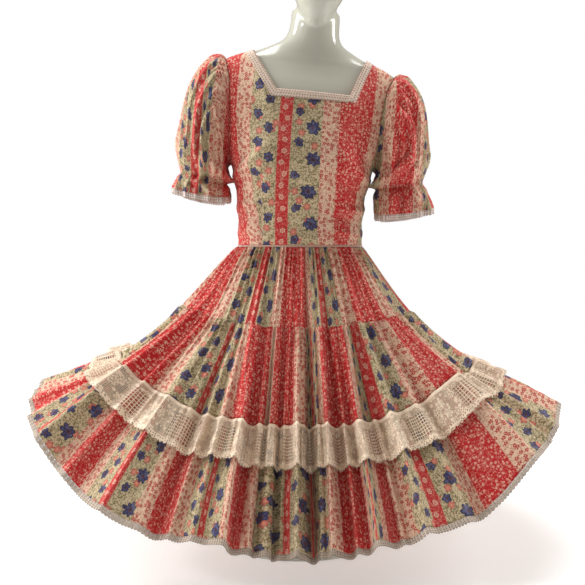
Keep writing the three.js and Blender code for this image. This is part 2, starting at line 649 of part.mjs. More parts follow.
function stand() {
  const bore = POLE.radius + POLE.clear;
  const socketTop = WAIST_Z + FIGURE[0].up - SEAM_GAP;
  const socketLow = socketTop - SOCKET.high;
  const roof = socketLow + SOCKET.deep;
  const socket = [
    [0, roof],
    [bore, roof],
    [bore, socketLow],
    [bore + SOCKET.wall, socketLow],
    [SOCKET.radius, socketTop - SOCKET.rim],
    [SOCKET.radius, socketTop],
    [0, socketTop],
  ];
  add("form_socket", turned(socket, 24), "shell");
  const poleLow = BASE.floor + SEAM_GAP;
  const poleTop = roof - SEAM_GAP;
  const pole = [[0, poleLow], [POLE.radius, poleLow], [POLE.radius, poleTop], [0, poleTop]];
  add("form_pole", turned(pole, 24), "metal");
  const base = [
    [0, 0],
    [BASE.radius, 0],
    [BASE.radius, BASE.thick - BASE.dome],
    [BASE.radius - BASE.dome, BASE.thick],
    [BASE.hub, BASE.thick + BASE.dome],
    [BASE.hub - BASE.taper, BASE.hubHigh],
    [bore, BASE.hubHigh],
    [bore, BASE.floor],
    [0, BASE.floor],
  ];
  add("form_base", turned(base, 32), "shell");
}

bodice();
sleeve(1, "left");
sleeve(-1, "right");
piping();
skirt();
zip();
form();
stand();

export default dress;
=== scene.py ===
# %% [markdown]
# # A square dance dress on its form
#
# A square dance dress is a fitted cotton bodice with puffed sleeves and a very full skirt of three
# gathered tiers, edged with lace. The construction, its real size and the one moving piece come
# packed as a fixed frame. This lesson dresses that frame: it makes each piece of cloth again as a
# fine sheet with its gathers and folds, prints the cotton, knots the lace and sets up the studio.
#
# Everything is in metres, in the frame's own axes: +Z is up and the dress faces -Y.

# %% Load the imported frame
import math
import random

import bmesh
import bpy
from mathutils import Matrix, Vector


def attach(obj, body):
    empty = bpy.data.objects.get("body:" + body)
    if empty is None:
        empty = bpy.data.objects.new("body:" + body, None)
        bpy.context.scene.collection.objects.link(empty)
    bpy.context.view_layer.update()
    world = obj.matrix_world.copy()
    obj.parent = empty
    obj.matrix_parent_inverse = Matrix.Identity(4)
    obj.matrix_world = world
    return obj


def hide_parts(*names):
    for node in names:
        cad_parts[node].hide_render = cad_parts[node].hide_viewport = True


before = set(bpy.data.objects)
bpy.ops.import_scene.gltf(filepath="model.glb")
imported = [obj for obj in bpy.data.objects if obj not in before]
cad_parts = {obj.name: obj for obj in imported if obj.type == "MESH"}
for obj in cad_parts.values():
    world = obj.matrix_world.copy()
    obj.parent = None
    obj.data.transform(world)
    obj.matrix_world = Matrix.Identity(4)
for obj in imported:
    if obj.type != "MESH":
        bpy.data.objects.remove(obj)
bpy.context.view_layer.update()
scene = bpy.context.scene

# %% [markdown]
# ## Camera
#
# The photograph was taken level with the waist from about two metres away, so the shoulders are
# seen slightly from below and the hem slightly from above. A camera at that height that looks
# straight ahead keeps the upright lines upright, and a little lens shift puts the waist where the
# photograph has it, as a view camera's rising front would.

# %% The camera, level with the waist
WAIST = Vector((0.0, 0.0, 0.590))
PHOTO = 585  # the photograph's width and height in pixels
PIXELS_PER_METRE = 486  # at the dress's middle
WAIST_PIXEL = (300, 246)  # where the middle of the waist lies in the photograph
DISTANCE = 1.90

camera_data = bpy.data.cameras.new("camera")
camera_data.sensor_width = 36
camera_data.lens = 36 * PIXELS_PER_METRE * DISTANCE / PHOTO
camera_data.shift_x = (PHOTO / 2 - WAIST_PIXEL[0]) / PHOTO
camera_data.shift_y = (WAIST_PIXEL[1] - PHOTO / 2) / PHOTO
camera = bpy.data.objects.new("camera", camera_data)
camera.location = WAIST + Vector((0, -DISTANCE, 0))
camera.rotation_euler = (math.radians(90), 0, 0)
scene.collection.objects.link(camera)
scene.camera = camera
print("lens", round(camera_data.lens, 1), "mm")

# %% [markdown]
# ## Studio
#
# The photograph is a cut-out on white, lit softly from above and from the sides, so that the edges
# of the cloth glow and its lower middle is in shade. A large round lamp over the dress, a tall one
# a little behind it on each side, a small one in front on the left and a warm even room give that.
# The camera sees plain white where the room ends, and the floor is one big pale disc that glows a
# little, like a light table.

# %% Floor, room light and lamps
def area_lamp(name, place, target, wide, high, power):
    data = bpy.data.lights.new(name, "AREA")
    data.shape = "ELLIPSE"
    data.size = wide
    data.size_y = high
    data.energy = power
    lamp = bpy.data.objects.new(name, data)
    lamp.location = place
    lamp.rotation_euler = (Vector(target) - Vector(place)).to_track_quat("-Z", "Y").to_euler()
    scene.collection.objects.link(lamp)


def mesh_object(name, bm):
    mesh = bpy.data.meshes.new(name)
    bm.to_mesh(mesh)
    bm.free()
    obj = bpy.data.objects.new(name, mesh)
    scene.collection.objects.link(obj)
    return obj


FLOOR_RADIUS = 2.3
WARM_WHITE = (1.0, 0.91, 0.79, 1)
ROOM_LIGHT = 0.24

floor_mesh = bmesh.new()
bmesh.ops.create_circle(floor_mesh, cap_ends=True, radius=FLOOR_RADIUS, segments=64)
floor = mesh_object("floor", floor_mesh)

world = bpy.data.worlds.new("room")
world.use_nodes = True
nodes = world.node_tree.nodes
nodes["Background"].inputs["Color"].default_value = WARM_WHITE
nodes["Background"].inputs["Strength"].default_value = ROOM_LIGHT
backdrop = nodes.new("ShaderNodeBackground")
backdrop.inputs["Color"].default_value = (1, 1, 1, 1)
seen = nodes.new("ShaderNodeLightPath")
choice = nodes.new("ShaderNodeMixShader")
links = world.node_tree.links
links.new(seen.outputs["Is Camera Ray"], choice.inputs["Fac"])
links.new(nodes["Background"].outputs["Background"], choice.inputs[1])
links.new(backdrop.outputs["Background"], choice.inputs[2])
links.new(choice.outputs["Shader"], nodes["World Output"].inputs["Surface"])
scene.world = world
scene.view_settings.view_transform = "Standard"

area_lamp("overhead", (0.1, 0.4, 3.0), (0, 0, 0.5), 2.0, 2.0, 60)
area_lamp("left", (-2.4, 0.20, 1.7), (0, 0, 0.8), 0.6, 2.2, 70)
area_lamp("right", (2.4, 0.3, 1.7), (0, 0, 0.8), 0.6, 2.2, 44)
area_lamp("front", (-2.6, -1.4, 1.9), (-0.1, 0, 0.9), 0.5, 0.5, 24)

# %% [markdown]
# ## The body of the dress as numbers
#
# The bodice, sleeves and skirt are cut to the same tables as the frame's own pieces, so that the
# fine cloth lies where the frame's plain walls do. The bodice lies on a general figure, given by
# its width and depth at some heights. The skirt is given by where its two seams and its hem lie in
# some directions. A smooth curve joins the rows of each table.

# %% Tables of the figure and of the skirt
MM = 0.001
FIGURE = [  # height above the waist, half width, depth in front, depth behind, squareness: mm
    (-232, 96, 66, 80, 2.0),
    (-222, 128, 88, 106, 2.0),
    (-195, 152, 99, 122, 2.0),
    (-150, 158, 98, 124, 2.0),
    (-90, 147, 93, 112, 2.0),
    (-40, 129, 88, 96, 2.0),
    (0, 121, 87, 86, 2.0),
    (45, 121, 92, 87, 2.05),
    (90, 124, 102, 91, 2.15),
    (130, 132, 114, 97, 2.3),
    (165, 141, 120, 101, 2.4),
    (205, 151, 116, 104, 2.5),
    (250, 161, 106, 103, 2.5),
    (290, 169, 94, 96, 2.5),
    (322, 176, 80, 85, 2.4),
    (342, 178, 69, 77, 2.3),
    (356, 174, 62, 71, 2.2),
    (364, 166, 58, 68, 2.2),
    (372, 151, 56, 65, 2.2),
    (381, 129, 53, 62, 2.1),
    (391, 106, 51, 59, 2.0),
    (402, 84, 50, 56, 2.0),
    (413, 65, 50, 54, 2.0),
    (426, 55, 50, 52, 2.0),
    (445, 51, 50, 50, 2.0),
    (480, 50, 50, 49, 2.0),
    (512, 44, 50, 42, 2.0),
]
SKIRT = [  # direction in degrees, then out and down at the first seam, the second seam and the hem: mm
    (-180, 165, 150, 270, 295, 470, 412),
    (-135, 190, 143, 310, 275, 490, 388),
    (-110, 226, 126, 354, 236, 522, 312),
    (-90, 244, 117, 376, 224, 545, 280),
    (-75, 224, 124, 362, 232, 530, 318),
    (-60, 200, 135, 330, 255, 498, 389),
    (-45, 180, 145, 290, 294, 450, 459),
    (-25, 162, 152, 243, 320, 373, 497),
    (0, 150, 153, 220, 324, 326, 524),
    (25, 162, 152, 243, 320, 373, 497),
    (45, 180, 145, 290, 294, 443, 452),
    (60, 202, 137, 330, 246, 486, 374),
    (75, 218, 132, 344, 244, 508, 338),
    (90, 225, 132, 346, 246, 508, 332),
    (115, 220, 133, 348, 238, 525, 322),
    (135, 190, 142, 330, 244, 538, 298),
    (180, 165, 150, 270, 295, 470, 412),
]
TIERS = (0.164, 0.184, 0.226)  # length of each tier down the cloth
SEAM_1 = TIERS[0]
SEAM_2 = TIERS[0] + TIERS[1]
SKIRT_LENGTH = sum(TIERS)
EASE = 0.005  # from the figure to the inner face of the bodice
CLOTH = 0.001  # thickness of the cotton
LEAN = math.radians(6.5)
SHOULDER_RISE = 0.364


def read(table, at, column):
    """A column of a table at a place between its rows, along a smooth curve through them."""
    last = len(table) - 1
    at = min(max(at, table[0][0]), table[last][0])
    i = 0
    while i < last - 1 and at > table[i + 1][0]:
        i += 1

    def slope(k):
        a, b = table[max(k - 1, 0)], table[min(k + 1, last)]
        return (b[column] - a[column]) / (b[0] - a[0])

    span = table[i + 1][0] - table[i][0]
    t = (at - table[i][0]) / span
    low, high = table[i][column], table[i + 1][column]
    rise = (t**3 - 2 * t**2 + t) * slope(i) + (t**3 - t**2) * slope(i + 1)
    return low + (3 * t**2 - 2 * t**3) * (high - low) + rise * span


def tabulated(table, columns, start, end, count):
    steps = [start + (end - start) * i / count for i in range(count + 1)]
    rows = [[read(table, at, c) for c in columns] for at in steps]

    def look(at):
        place = min(max((at - start) / (end - start) * count, 0), count - 1e-6)
        i = int(place)
        t = place - i
        return [a + (b - a) * t for a, b in zip(rows[i], rows[i + 1])]

    return look


figure_at = tabulated(FIGURE, (1, 2, 3, 4), -232, 512, 744)
skirt_at = tabulated(SKIRT, (1, 2, 3, 4, 5, 6), -180, 180, 720)
print("waist", figure_at(0), "hem in front", skirt_at(0)[4:])

# %% [markdown]
# ## Where a point of the cloth lies
#
# Each part of the dress gets one function from a place on the cloth to a place in space. On the
# bodice that is an angle round the figure and a height, on the skirt a direction and a distance
# down the cloth. Folds are added as moves square to the surface, because that is how cloth folds.

# %% Points of the bodice
BUST = dict(across=0.078, up=0.168, rise=0.012, spread_across=0.046, spread_up=0.052)


def lean(p):
    """The torso bends to one side. Above the shoulders it goes straight on."""
    up = max(p.z, 0.0)
    bent = min(up, SHOULDER_RISE)
    angle = LEAN * bent / SHOULDER_RISE
    shift = angle * bent / 2 + math.sin(LEAN) * (up - bent)
    return Vector((shift + p.x * math.cos(angle), p.y, WAIST.z + p.z - p.x * math.sin(angle)))


def figure(angle, up, out):
    """The upright figure, moved out. Angle 0 is the front and a quarter turn is +X."""
    wide, front, back, square = figure_at(up / MM)
    s, c = math.sin(angle), math.cos(angle)
    deep = (front if c > 0 else back) * MM + out
    x = (wide * MM + out) * math.copysign(abs(s) ** (2 / square), s)
    y = -deep * math.copysign(abs(c) ** (2 / square), c)
    across = (abs(x) - BUST["across"]) / BUST["spread_across"]
    rise = (up - BUST["up"]) / BUST["spread_up"]
    bust = BUST["rise"] * max(c, 0) ** 0.5 * math.exp(-across * across - rise * rise)
    return Vector((x, y - bust, up))


def over_figure(angle, up, lift):
    """The inner face of the bodice, moved out square to itself."""
    step = 0.01
    around = figure(angle + step, up, EASE) - figure(angle - step, up, EASE)
    along = figure(angle, up + MM, EASE) - figure(angle, up - MM, EASE)
    return figure(angle, up, EASE) + around.cross(along).normalized() * lift


def angle_across(x, up):
    """The angle at which the bodice reaches a place across, at one height."""
    wide, front, back, square = figure_at(up / MM)
    share = min(abs(x) / (wide * MM + EASE), 1)
    return math.copysign(math.asin(share ** (square / 2)), x)


def angle_deep(y, up):
    """The angle at which the bodice reaches a depth, in front or behind, at one height."""
    wide, front, back, square = figure_at(up / MM)
    share = min(abs(y) / ((front if y < 0 else back) * MM + EASE), 1)
    return math.acos(share ** (square / 2))


def side_at(y, up, out):
    """Half the figure's width at one depth and height."""
    wide, front, back, square = figure_at(up / MM)
    deep = (front if y < 0 else back) * MM + out
    share = min(abs(y) / deep, 1) ** square
    return (wide * MM + out) * (1 - share) ** (1 / square)


print("bodice at the waist in front", over_figure(0, 0, 0), "at the bust", over_figure(0.6, 0.168, 0))

# %% Points of the skirt without its folds
HANG = math.radians(11.8)  # folds in front hang this much steeper at the hem
WAIST_CLOTH = 0.0065  # from the figure to the outside of the skirt at the waist


def bell(angle, down):
    share = min(down / SKIRT_LENGTH, 1)
    turned = angle - HANG * share * math.sin(2 * angle)
    s, c = math.sin(turned), math.cos(turned)
    wide, deep = 0.121 + WAIST_CLOTH, 0.087 + WAIST_CLOTH
    waist = wide * deep / math.hypot(deep * s, wide * c)
    degrees = (math.degrees(turned) + 540) % 360 - 180
    out1, down1, out2, down2, out3, down3 = (v * MM for v in skirt_at(degrees))
    rows = [
        (0, waist, 0),
        (SEAM_1, out1, down1),
        (SEAM_2, out2, down2),
        (SKIRT_LENGTH, out3, down3),
    ]
    past = max(down - SKIRT_LENGTH, 0) / TIERS[2]
    out = read(rows, down, 1) + past * (out3 - out2)
    drop = read(rows, down, 2) + past * (down3 - down2)
    return Vector((out * s, -out * c, WAIST.z - drop))


print("hem in front", bell(0, SKIRT_LENGTH), "left tip", bell(-math.pi / 2, SKIRT_LENGTH))

# %% [markdown]
# ## Folds of the skirt
#
# A full gathered skirt has three kinds of fold. The largest run from the waist to the hem and were
# placed one by one. Middle-sized ones start lower down. Close under each seam are small
# gathers, about one in each centimetre, that die out at different lengths. All are soft bumps
# across the cloth, and no two neighbours are alike.

# %% Large folds, placed one by one
FOLDS = [  # direction, half width: degrees; how far out or in at the hem, start down the cloth: mm
    (-84, 5, -20, 60),
    (-75, 6, 16, 160),
    (-66, 4.5, -24, 40),
    (-56, 6, 16, 200),
    (-47, 4.5, -26, 60),
    (-33.5, 3.6, 26, 60),
    (-28.5, 3, -22, 100),
    (-20, 3, -16, 200),
    (-15.5, 3, 24, 120),
    (-11.5, 2.6, -34, 60),
    (-2, 2.6, 22, 200),
    (5.5, 2.8, -44, 40),
    (13, 7, 14, 60),
    (21.5, 2.8, -28, 60),
    (28.5, 3, -20, 180),
    (33, 3.2, 26, 100),
    (38, 3.4, -26, 80),
    (47, 6, 18, 180),
    (56, 4.5, -24, 60),
    (66, 6, 16, 180),
    (76, 4.5, -22, 60),
    (86, 5, 14, 200),
]
BACK_SHIFT = 3.5  # behind, the same folds come mirrored and turned by this many degrees


def large_folds(degrees, down):
    front = abs(degrees) <= 90
    mirrored = 180 - degrees if degrees > 0 else -180 - degrees
    place = degrees if front else mirrored + BACK_SHIFT
    rise = 0
    for at, wide, out, start in FOLDS:
        away = (place - at) / wide
        if abs(away) < 3:
            t = min(max((down - start * MM) / (SKIRT_LENGTH - start * MM), 0), 1)
            rise += out * MM * t**0.8 * math.exp(-away * away)
    from_side = abs(abs(degrees) - 90)
    from_zip = (180 - abs(degrees)) / 9
    calm = 1 if front else min(from_side / 6, 1)
    return rise * calm * (1 - math.exp(-from_zip * from_zip) if down < SEAM_1 else 1)


print("large folds in front", len(FOLDS), "from", FOLDS[0][0], "to", FOLDS[-1][0], "degrees")

# %% Small gathers and middle folds, each with a size and a length of its own
class Gathers:
    """Ridges side by side round a ring, with a random height, width and length each."""

    def __init__(self, count, seed, height, length):
        chance = random.Random(seed)
        self.count = count
        self.ridges = [
            (
                chance.uniform(-0.24, 0.24),
                chance.uniform(0.18, 0.36),
                height * chance.uniform(0.35, 1.0),
                length * chance.uniform(0.3, 1.5),
            )
            for _ in range(count)
        ]

    def ridge_sum(self, turn, below):
        place = turn % 1 * self.count
        middle = int(place)
        total = 0
        for i in (middle - 1, middle, middle + 1):
            shift, wide, height, length = self.ridges[i % self.count]
            away = (place - i - 0.5 - shift) / wide
            total += height * math.exp(-(abs(away) ** 1.5) - below / length)
        return total


def started(below, length):
    """Grows from 0 at a seam to 1, over a length."""
    t = min(max(below / length, 0), 1)
    return t * t * (3 - 2 * t)


middle_folds = Gathers(52, 3, 0.030, 9.0)
waist_gathers = Gathers(76, 5, 0.0100, 0.20)
second_gathers = Gathers(112, 7, 0.0105, 0.16)
third_gathers = Gathers(140, 11, 0.0120, 0.19)


def skirt_rise(degrees, down):
    """Everything that moves the skirt's cloth out from its plain bell."""
    turn = degrees / 360
    rise = large_folds(degrees, down)
    rise += (middle_folds.ridge_sum(turn, 0) - 0.013) * started(down - 0.08, 0.34)
    seams = (0, SEAM_1, SEAM_2)
    rows = (waist_gathers, second_gathers, third_gathers)
    for seam, gathers in zip(seams, rows):
        below = down - seam
        if below >= 0:
            ridge = gathers.ridge_sum(turn, below) - 0.0045 * math.exp(-below / 0.15)
            rise += ridge * (0.12 + 0.88 * started(below, 0.012))
    for seam in seams[1:]:
        rise -= 0.0012 * math.exp(-(((down - seam) / 0.004) ** 2))
    return rise


def skirt_point(degrees, down, lift):
    angle = math.radians(degrees)
    step = 0.02
    around = bell(angle + step, down) - bell(angle - step, down)
    along = bell(angle, down + 0.002) - bell(angle, max(down - 0.002, 0))
    square = along.cross(around).normalized()
    return bell(angle, down) + square * (skirt_rise(degrees, down) + lift)


print("gathers at the seams", waist_gathers.count, second_gathers.count, third_gathers.count)

# %% [markdown]
# ## A sheet of cloth
#
# Every piece of cloth starts as a flat grid, as it does on the cutting table. The grid's own
# coordinates give its place on the fabric, which becomes the UV map in metres of cloth, so the
# print keeps its real size and follows the gathers. Then each point moves to its place in space.
# A Solidify modifier gives the sheet its thickness, with the wrong side of the print inside.

# %% From a flat grid to a hung sheet
def sheet_grid(bm, columns, rows, place, fabric):
    """Adds a grid to the mesh. place and fabric turn a share across and a share down, from 0 to 1,
    into a point in space and into metres of cloth."""
    uv = bm.loops.layers.uv.verify()
    made = bmesh.ops.create_grid(bm, x_segments=columns, y_segments=rows, size=0.5)
    shares = {v: (v.co.x + 0.5, v.co.y + 0.5) for v in made["verts"]}
    cut = {v: fabric(*share) for v, share in shares.items()}
    for face in {f for v in made["verts"] for f in v.link_faces}:
        for loop in face.loops:
            loop[uv].uv = cut[loop.vert]
    for v, share in shares.items():
        v.co = place(*share)


def finished_cloth(name, bm, thickness, materials):
    bmesh.ops.remove_doubles(bm, verts=bm.verts, dist=2e-5)
    for face in bm.faces:
        face.smooth = True
    obj = mesh_object(name, bm)
    for material in materials:
        obj.data.materials.append(material)
    solidify = obj.modifiers.new("thickness", "SOLIDIFY")
    solidify.thickness = thickness
    solidify.offset = 0
    solidify.use_even_offset = False
    solidify.material_offset = len(materials) - 1
    solidify.material_offset_rim = 0
    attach(obj, "dress")
    return obj


def sheet_area(obj):
    return sum(face.area for face in obj.data.polygons)


def between(table, x):
    """Straight lines through pairs of numbers."""
    for (x0, y0), (x1, y1) in zip(table, table[1:]):
        if x <= x1:
            return y0 + (y1 - y0) * (x - x0) / (x1 - x0)
    return table[-1][1]


def look_up(table, u, v):
    """Between the four nearest entries of a table of rows, at two shares from 0 to 1."""
    row, column = u * (len(table) - 1), v * (len(table[0]) - 1)
    i, j = min(int(row), len(table) - 2), min(int(column), len(table[0]) - 2)
    s, t = row - i, column - j
    low = table[i][j] * (1 - t) + table[i][j + 1] * t
    high = table[i + 1][j] * (1 - t) + table[i + 1][j + 1] * t
    return low * (1 - s) + high * s


print("thickness of the cotton", CLOTH)

# %% [markdown]
# ## Writing materials as expressions
#
# A material is a graph of nodes. Placing hundreds of Math nodes by hand is slow, so a small class
# stands for one number that changes over the surface. Adding or comparing two of them adds the
# Math node. Any other node comes from one method of the finish.

# %% A small class for shader maths
class Value:
    """One output of a node, with the operators that are used."""

    def __init__(self, finish, socket):
        self.finish = finish
        self.socket = socket

    def math(self, operation, *values, clamp=False):
        settings = {"operation": operation, "use_clamp": clamp}
        return self.finish.node("ShaderNodeMath", settings, dict(enumerate(values)))

    def __add__(self, other):
        return self.math("ADD", self, other)

    def __radd__(self, other):
        return self.math("ADD", other, self)

    def __sub__(self, other):
        return self.math("SUBTRACT", self, other)

    def __rsub__(self, other):
        return self.math("SUBTRACT", other, self)

    def __mul__(self, other):
        return self.math("MULTIPLY", self, other)

    def __rmul__(self, other):
        return self.math("MULTIPLY", other, self)

    def __truediv__(self, other):
        return self.math("DIVIDE", self, other)

    def __lt__(self, other):
        return self.math("LESS_THAN", self, other)

    def __gt__(self, other):
        return self.math("GREATER_THAN", self, other)

    def __abs__(self):
        return self.math("ABSOLUTE", self)

    def below(self, edge, soft):
        """1 where the value is less than the edge, with a soft change."""
        scaled = (edge - self) * (1 / soft)
        return scaled.math("ADD", scaled, 0.5, clamp=True)

    def fraction(self):
        return self.math("FRACT", self)

    def cosine(self):
        return self.math("COSINE", self)

    def sine(self):
        return self.math("SINE", self)

    def largest(self, other):
        return self.math("MAXIMUM", self, other)


class Finish:
    """A material with a Principled shader, and a method that adds any node."""

    def __init__(self, name):
        self.material = bpy.data.materials.new(name)
        self.material.use_nodes = True
        self.tree = self.material.node_tree
        self.shader = self.tree.nodes["Principled BSDF"]

    def node(self, kind, settings, values, output=0):
        node = self.tree.nodes.new(kind)
        for name, setting in settings.items():
            if name == "stops":
                ramp = node.color_ramp
                for place, color in setting[1:-1]:
                    ramp.elements.new(place)
                for element, (place, color) in zip(ramp.elements, setting):
                    element.position = place
                    element.color = (*color, 1)
            else:
                setattr(node, name, setting)
        for key, value in values.items():
            self.set(node.inputs[key], value)
        if isinstance(output, tuple):
            return [Value(self, node.outputs[o]) for o in output]
        return Value(self, node.outputs[output])

    def set(self, socket, value):
        if isinstance(value, Value):
            self.tree.links.new(value.socket, socket)
        elif isinstance(value, tuple) and len(value) == 3 and socket.type == "RGBA":
            socket.default_value = (*value, 1)
        else:
            socket.default_value = value

    def shade(self, **sockets):
        for name, value in sockets.items():
            self.set(self.shader.inputs[name.replace("_", " ")], value)

    def mix(self, low, high, share):
        """Goes from one colour to another."""
        inputs = {0: share, 6: low, 7: high}
        return self.node("ShaderNodeMix", {"data_type": "RGBA"}, inputs, 2)

    def uv(self):
        return self.node("ShaderNodeUVMap", {}, {})

    def object_place(self):
        return self.node("ShaderNodeTexCoord", {}, {}, "Object")

    def parts(self, vector):
        return self.node("ShaderNodeSeparateXYZ", {}, {0: vector}, (0, 1, 2))

    def vector(self, x, y, z=0.0):
        return self.node("ShaderNodeCombineXYZ", {}, {0: x, 1: y, 2: z})

    def noise(self, vector, scale, detail=2.0):
        inputs = {"Vector": vector, "Scale": scale, "Detail": detail}
        return self.node("ShaderNodeTexNoise", {"noise_dimensions": "3D"}, inputs)

    def bump(self, height, strength, distance):
        inputs = {"Height": height, "Strength": strength, "Distance": distance}
        return self.node("ShaderNodeBump", {}, inputs)

    def cells(self, u, v, pitch, shift):
        """Scattered centres a pitch apart. Gives the distance and the angle from the nearest centre,
        the first as a share of the pitch, and a random number for it."""
        vector = self.vector(u * (1 / pitch) + shift, v * (1 / pitch) + shift)
        settings = {"voronoi_dimensions": "2D", "feature": "F1"}
        inputs = {"Vector": vector, "Scale": 1.0, "Randomness": 0.85}
        outputs = ("Distance", "Color", "Position")
        far, color, centre = self.node("ShaderNodeTexVoronoi", settings, inputs, outputs)
        apart = self.node("ShaderNodeVectorMath", {"operation": "SUBTRACT"}, {0: vector, 1: centre})
        x, y, _ = self.parts(apart)
        chance, other, _ = self.parts(color)
        return far, y.math("ARCTAN2", y, x), chance, other


def line_of(noise, level, thin):
    """A thin winding line, where a noise passes one level."""
    return abs(noise - level).below(thin, thin * 0.6)


print("finishes are ready to write")

# %% [markdown]
# ## The printed cotton
#
# The cloth is a common dress cotton with a striped flower print. Across the cloth a repeat of 28 cm
# holds a wide red stripe, a pink one, a cream one with blue flowers, a narrow red one with white
# daisies, and the cream and the pink again. The red stripes are full of small pale florets, the
# pink ones of red florets on winding stems, and the cream ones of olive leaves. None of these is
# drawn: cells scatter the florets, winding lines are levels of a noise, and rows of large flowers
# repeat down the cloth as they do on a printing roller.

# %% The repeat of the print
REPEAT = 0.279
NARROW_MIDDLE = REPEAT / 2
NARROW_HALF = 0.0126
CREAM_EDGE = 0.0717
PINK_EDGE = 0.1046


def row_of_flowers(finish, x, v, middle, pitch, start, radius, petals, sway):
    """Flowers in a row down the cloth. Gives the distance from the nearest centre as a share of the
    radius, less where a petal is, and the angle round it."""
    step = v * (1 / pitch) + start
    whole = step.math("FLOOR", step)
    across = x - middle - sway * (whole * 2.4).sine()
    along = (step - whole - 0.5) * pitch
    square = across * across + along * along
    far = square.math("SQRT", square)
    angle = along.math("ARCTAN2", along, across)
    round_it = angle * (petals / 2) + whole * 1.7
    petals_end = 0.70 + 0.32 * abs(round_it.cosine()) + 0.07 * (angle * 2 + whole).sine()
    return far / (radius * petals_end), round_it


def printed_cotton(name, strength):
    """strength is 1 on the right side of the cloth, and less on the wrong side."""
    finish = Finish(name)
    u, v, _ = finish.parts(finish.uv())
    cloth = finish.vector(u, v)
    ragged = (finish.noise(cloth, 900.0, 1.0) - 0.5) * 0.0016
    x = ((u + ragged) * (1 / REPEAT)).fraction() * REPEAT
    from_narrow = abs(x - NARROW_MIDDLE)
    narrow = from_narrow.below(NARROW_HALF, 0.0008)
    to_cream = from_narrow.below(CREAM_EDGE, 0.0008)
    to_pink = from_narrow.below(PINK_EDGE, 0.0008)

    winding = finish.noise(cloth, 95.0, 1.5)
    other_winding = finish.noise(finish.vector(u + 3.1, v + 1.7), 70.0, 1.5)

    # wide red stripe: pale florets, dots and squiggles
    red = (0.50, 0.008, 0.012)
    pale = (0.84, 0.62, 0.47)
    far, angle, chance, _ = finish.cells(u, v, 0.0076, 0.0)
    floret = far.below(0.21 + 0.10 * (angle * 5 + chance * 6).cosine(), 0.07) * (chance > 0.42)
    floret = floret * (1 - far.below(0.11, 0.06) * 0.8)
    far_dot, _, chance_dot, _ = finish.cells(u, v, 0.0040, 5.3)
    dots = far_dot.below(0.24, 0.12) * (chance_dot > 0.62)
    squiggle = line_of(winding, 0.5, 0.013).largest(line_of(other_winding, 0.5, 0.010))
    wide_color = finish.mix(red, pale, floret.largest(dots * 0.55).largest(squiggle * 0.24))

    # pink stripe: red florets on dark red stems
    far, angle, chance, _ = finish.cells(u, v, 0.0092, 2.2)
    floret = far.below(0.31 + 0.10 * (angle * 5 + chance * 6).cosine(), 0.08) * (chance > 0.24)
    heart = far.below(0.10, 0.05)
    stems = line_of(winding, 0.47, 0.013).largest(line_of(other_winding, 0.52, 0.011))
    pink_color = finish.mix((0.72, 0.50, 0.36), (0.34, 0.06, 0.04), stems * 0.70)
    pink_color = finish.mix(pink_color, (0.46, 0.08, 0.06), dots * 0.8)
    pink_color = finish.mix(pink_color, (0.42, 0.016, 0.020), floret)
    pink_color = finish.mix(pink_color, (0.66, 0.42, 0.28), heart * floret)

    # cream stripe: olive stems and leaves, pink flowers, and the rows of blue ones
    leaf_far, _, leaf_chance, leaf_other = finish.cells(u, v, 0.0050, 7.7)
    leaves = leaf_far.below(0.32, 0.12) * (leaf_chance > 0.38)
    stems = line_of(winding, 0.53, 0.018).largest(line_of(other_winding, 0.46, 0.016))
    cream_color = finish.mix((0.55, 0.445, 0.28), (0.11, 0.095, 0.035), stems * 0.85)
    cream_color = finish.mix(cream_color, (0.18, 0.15, 0.060), leaves * 0.8)
    cream_color = finish.mix(cream_color, (0.42, 0.12, 0.08), dots * (leaf_other > 0.6) * 0.7)
    far, angle, chance, _ = finish.cells(u, v, 0.026, 4.1)
    blossom = far.below(0.25 + 0.05 * (angle * 5 + chance * 6).cosine(), 0.04) * (chance > 0.38)
    blossom_color = finish.mix((0.40, 0.08, 0.065), (0.60, 0.19, 0.14), far.below(0.20, 0.12))
    blossom_color = finish.mix((0.62, 0.34, 0.18), blossom_color, (far > 0.06) * 1.0)
    cream_color = finish.mix(cream_color, blossom_color, blossom)

    rows = [  # middle, pitch, start, radius, petals, sway
        (0.0845, 0.056, 0.00, 0.0106, 5, 0.004),
        (0.1085, 0.056, 0.50, 0.0104, 6, 0.004),
        (0.1660, 0.062, 0.30, 0.0092, 5, 0.003),
        (0.1945, 0.062, 0.80, 0.0146, 7, 0.004),
    ]
    for middle, pitch, start, radius, petals, sway in rows:
        far, round_it = row_of_flowers(finish, x, v, middle, pitch, start, radius, petals, sway)
        far = far + (winding - 0.5) * 0.9
        petal = finish.mix((0.016, 0.014, 0.050), (0.050, 0.056, 0.150), abs(round_it.cosine()))
        petal = finish.mix(petal, (0.13, 0.14, 0.26), other_winding.below(0.46, 0.06) * 0.6)
        petal = finish.mix(petal, (0.10, 0.045, 0.070), far.below(0.34, 0.20))
        petal = finish.mix(petal, (0.030, 0.020, 0.035), far.below(0.15, 0.08))
        petal = finish.mix((0.022, 0.020, 0.050), petal, far.below(0.82, 0.10))
        cream_color = finish.mix(cream_color, petal, far.below(1.0, 0.16))

    # narrow red stripe: white daisies from side to side
    far, round_it = row_of_flowers(finish, x, v, NARROW_MIDDLE, 0.0215, 0.1, 0.0052, 6, 0.0036)
    narrow_color = finish.mix((0.48, 0.020, 0.022), pale, squiggle * 0.3)
    narrow_color = finish.mix(narrow_color, (0.66, 0.46, 0.36), far.below(1.0, 0.14))
    narrow_color = finish.mix(narrow_color, (0.56, 0.09, 0.07), far.below(0.62, 0.14))
    narrow_color = finish.mix(narrow_color, (0.68, 0.48, 0.30), far.below(0.24, 0.10))

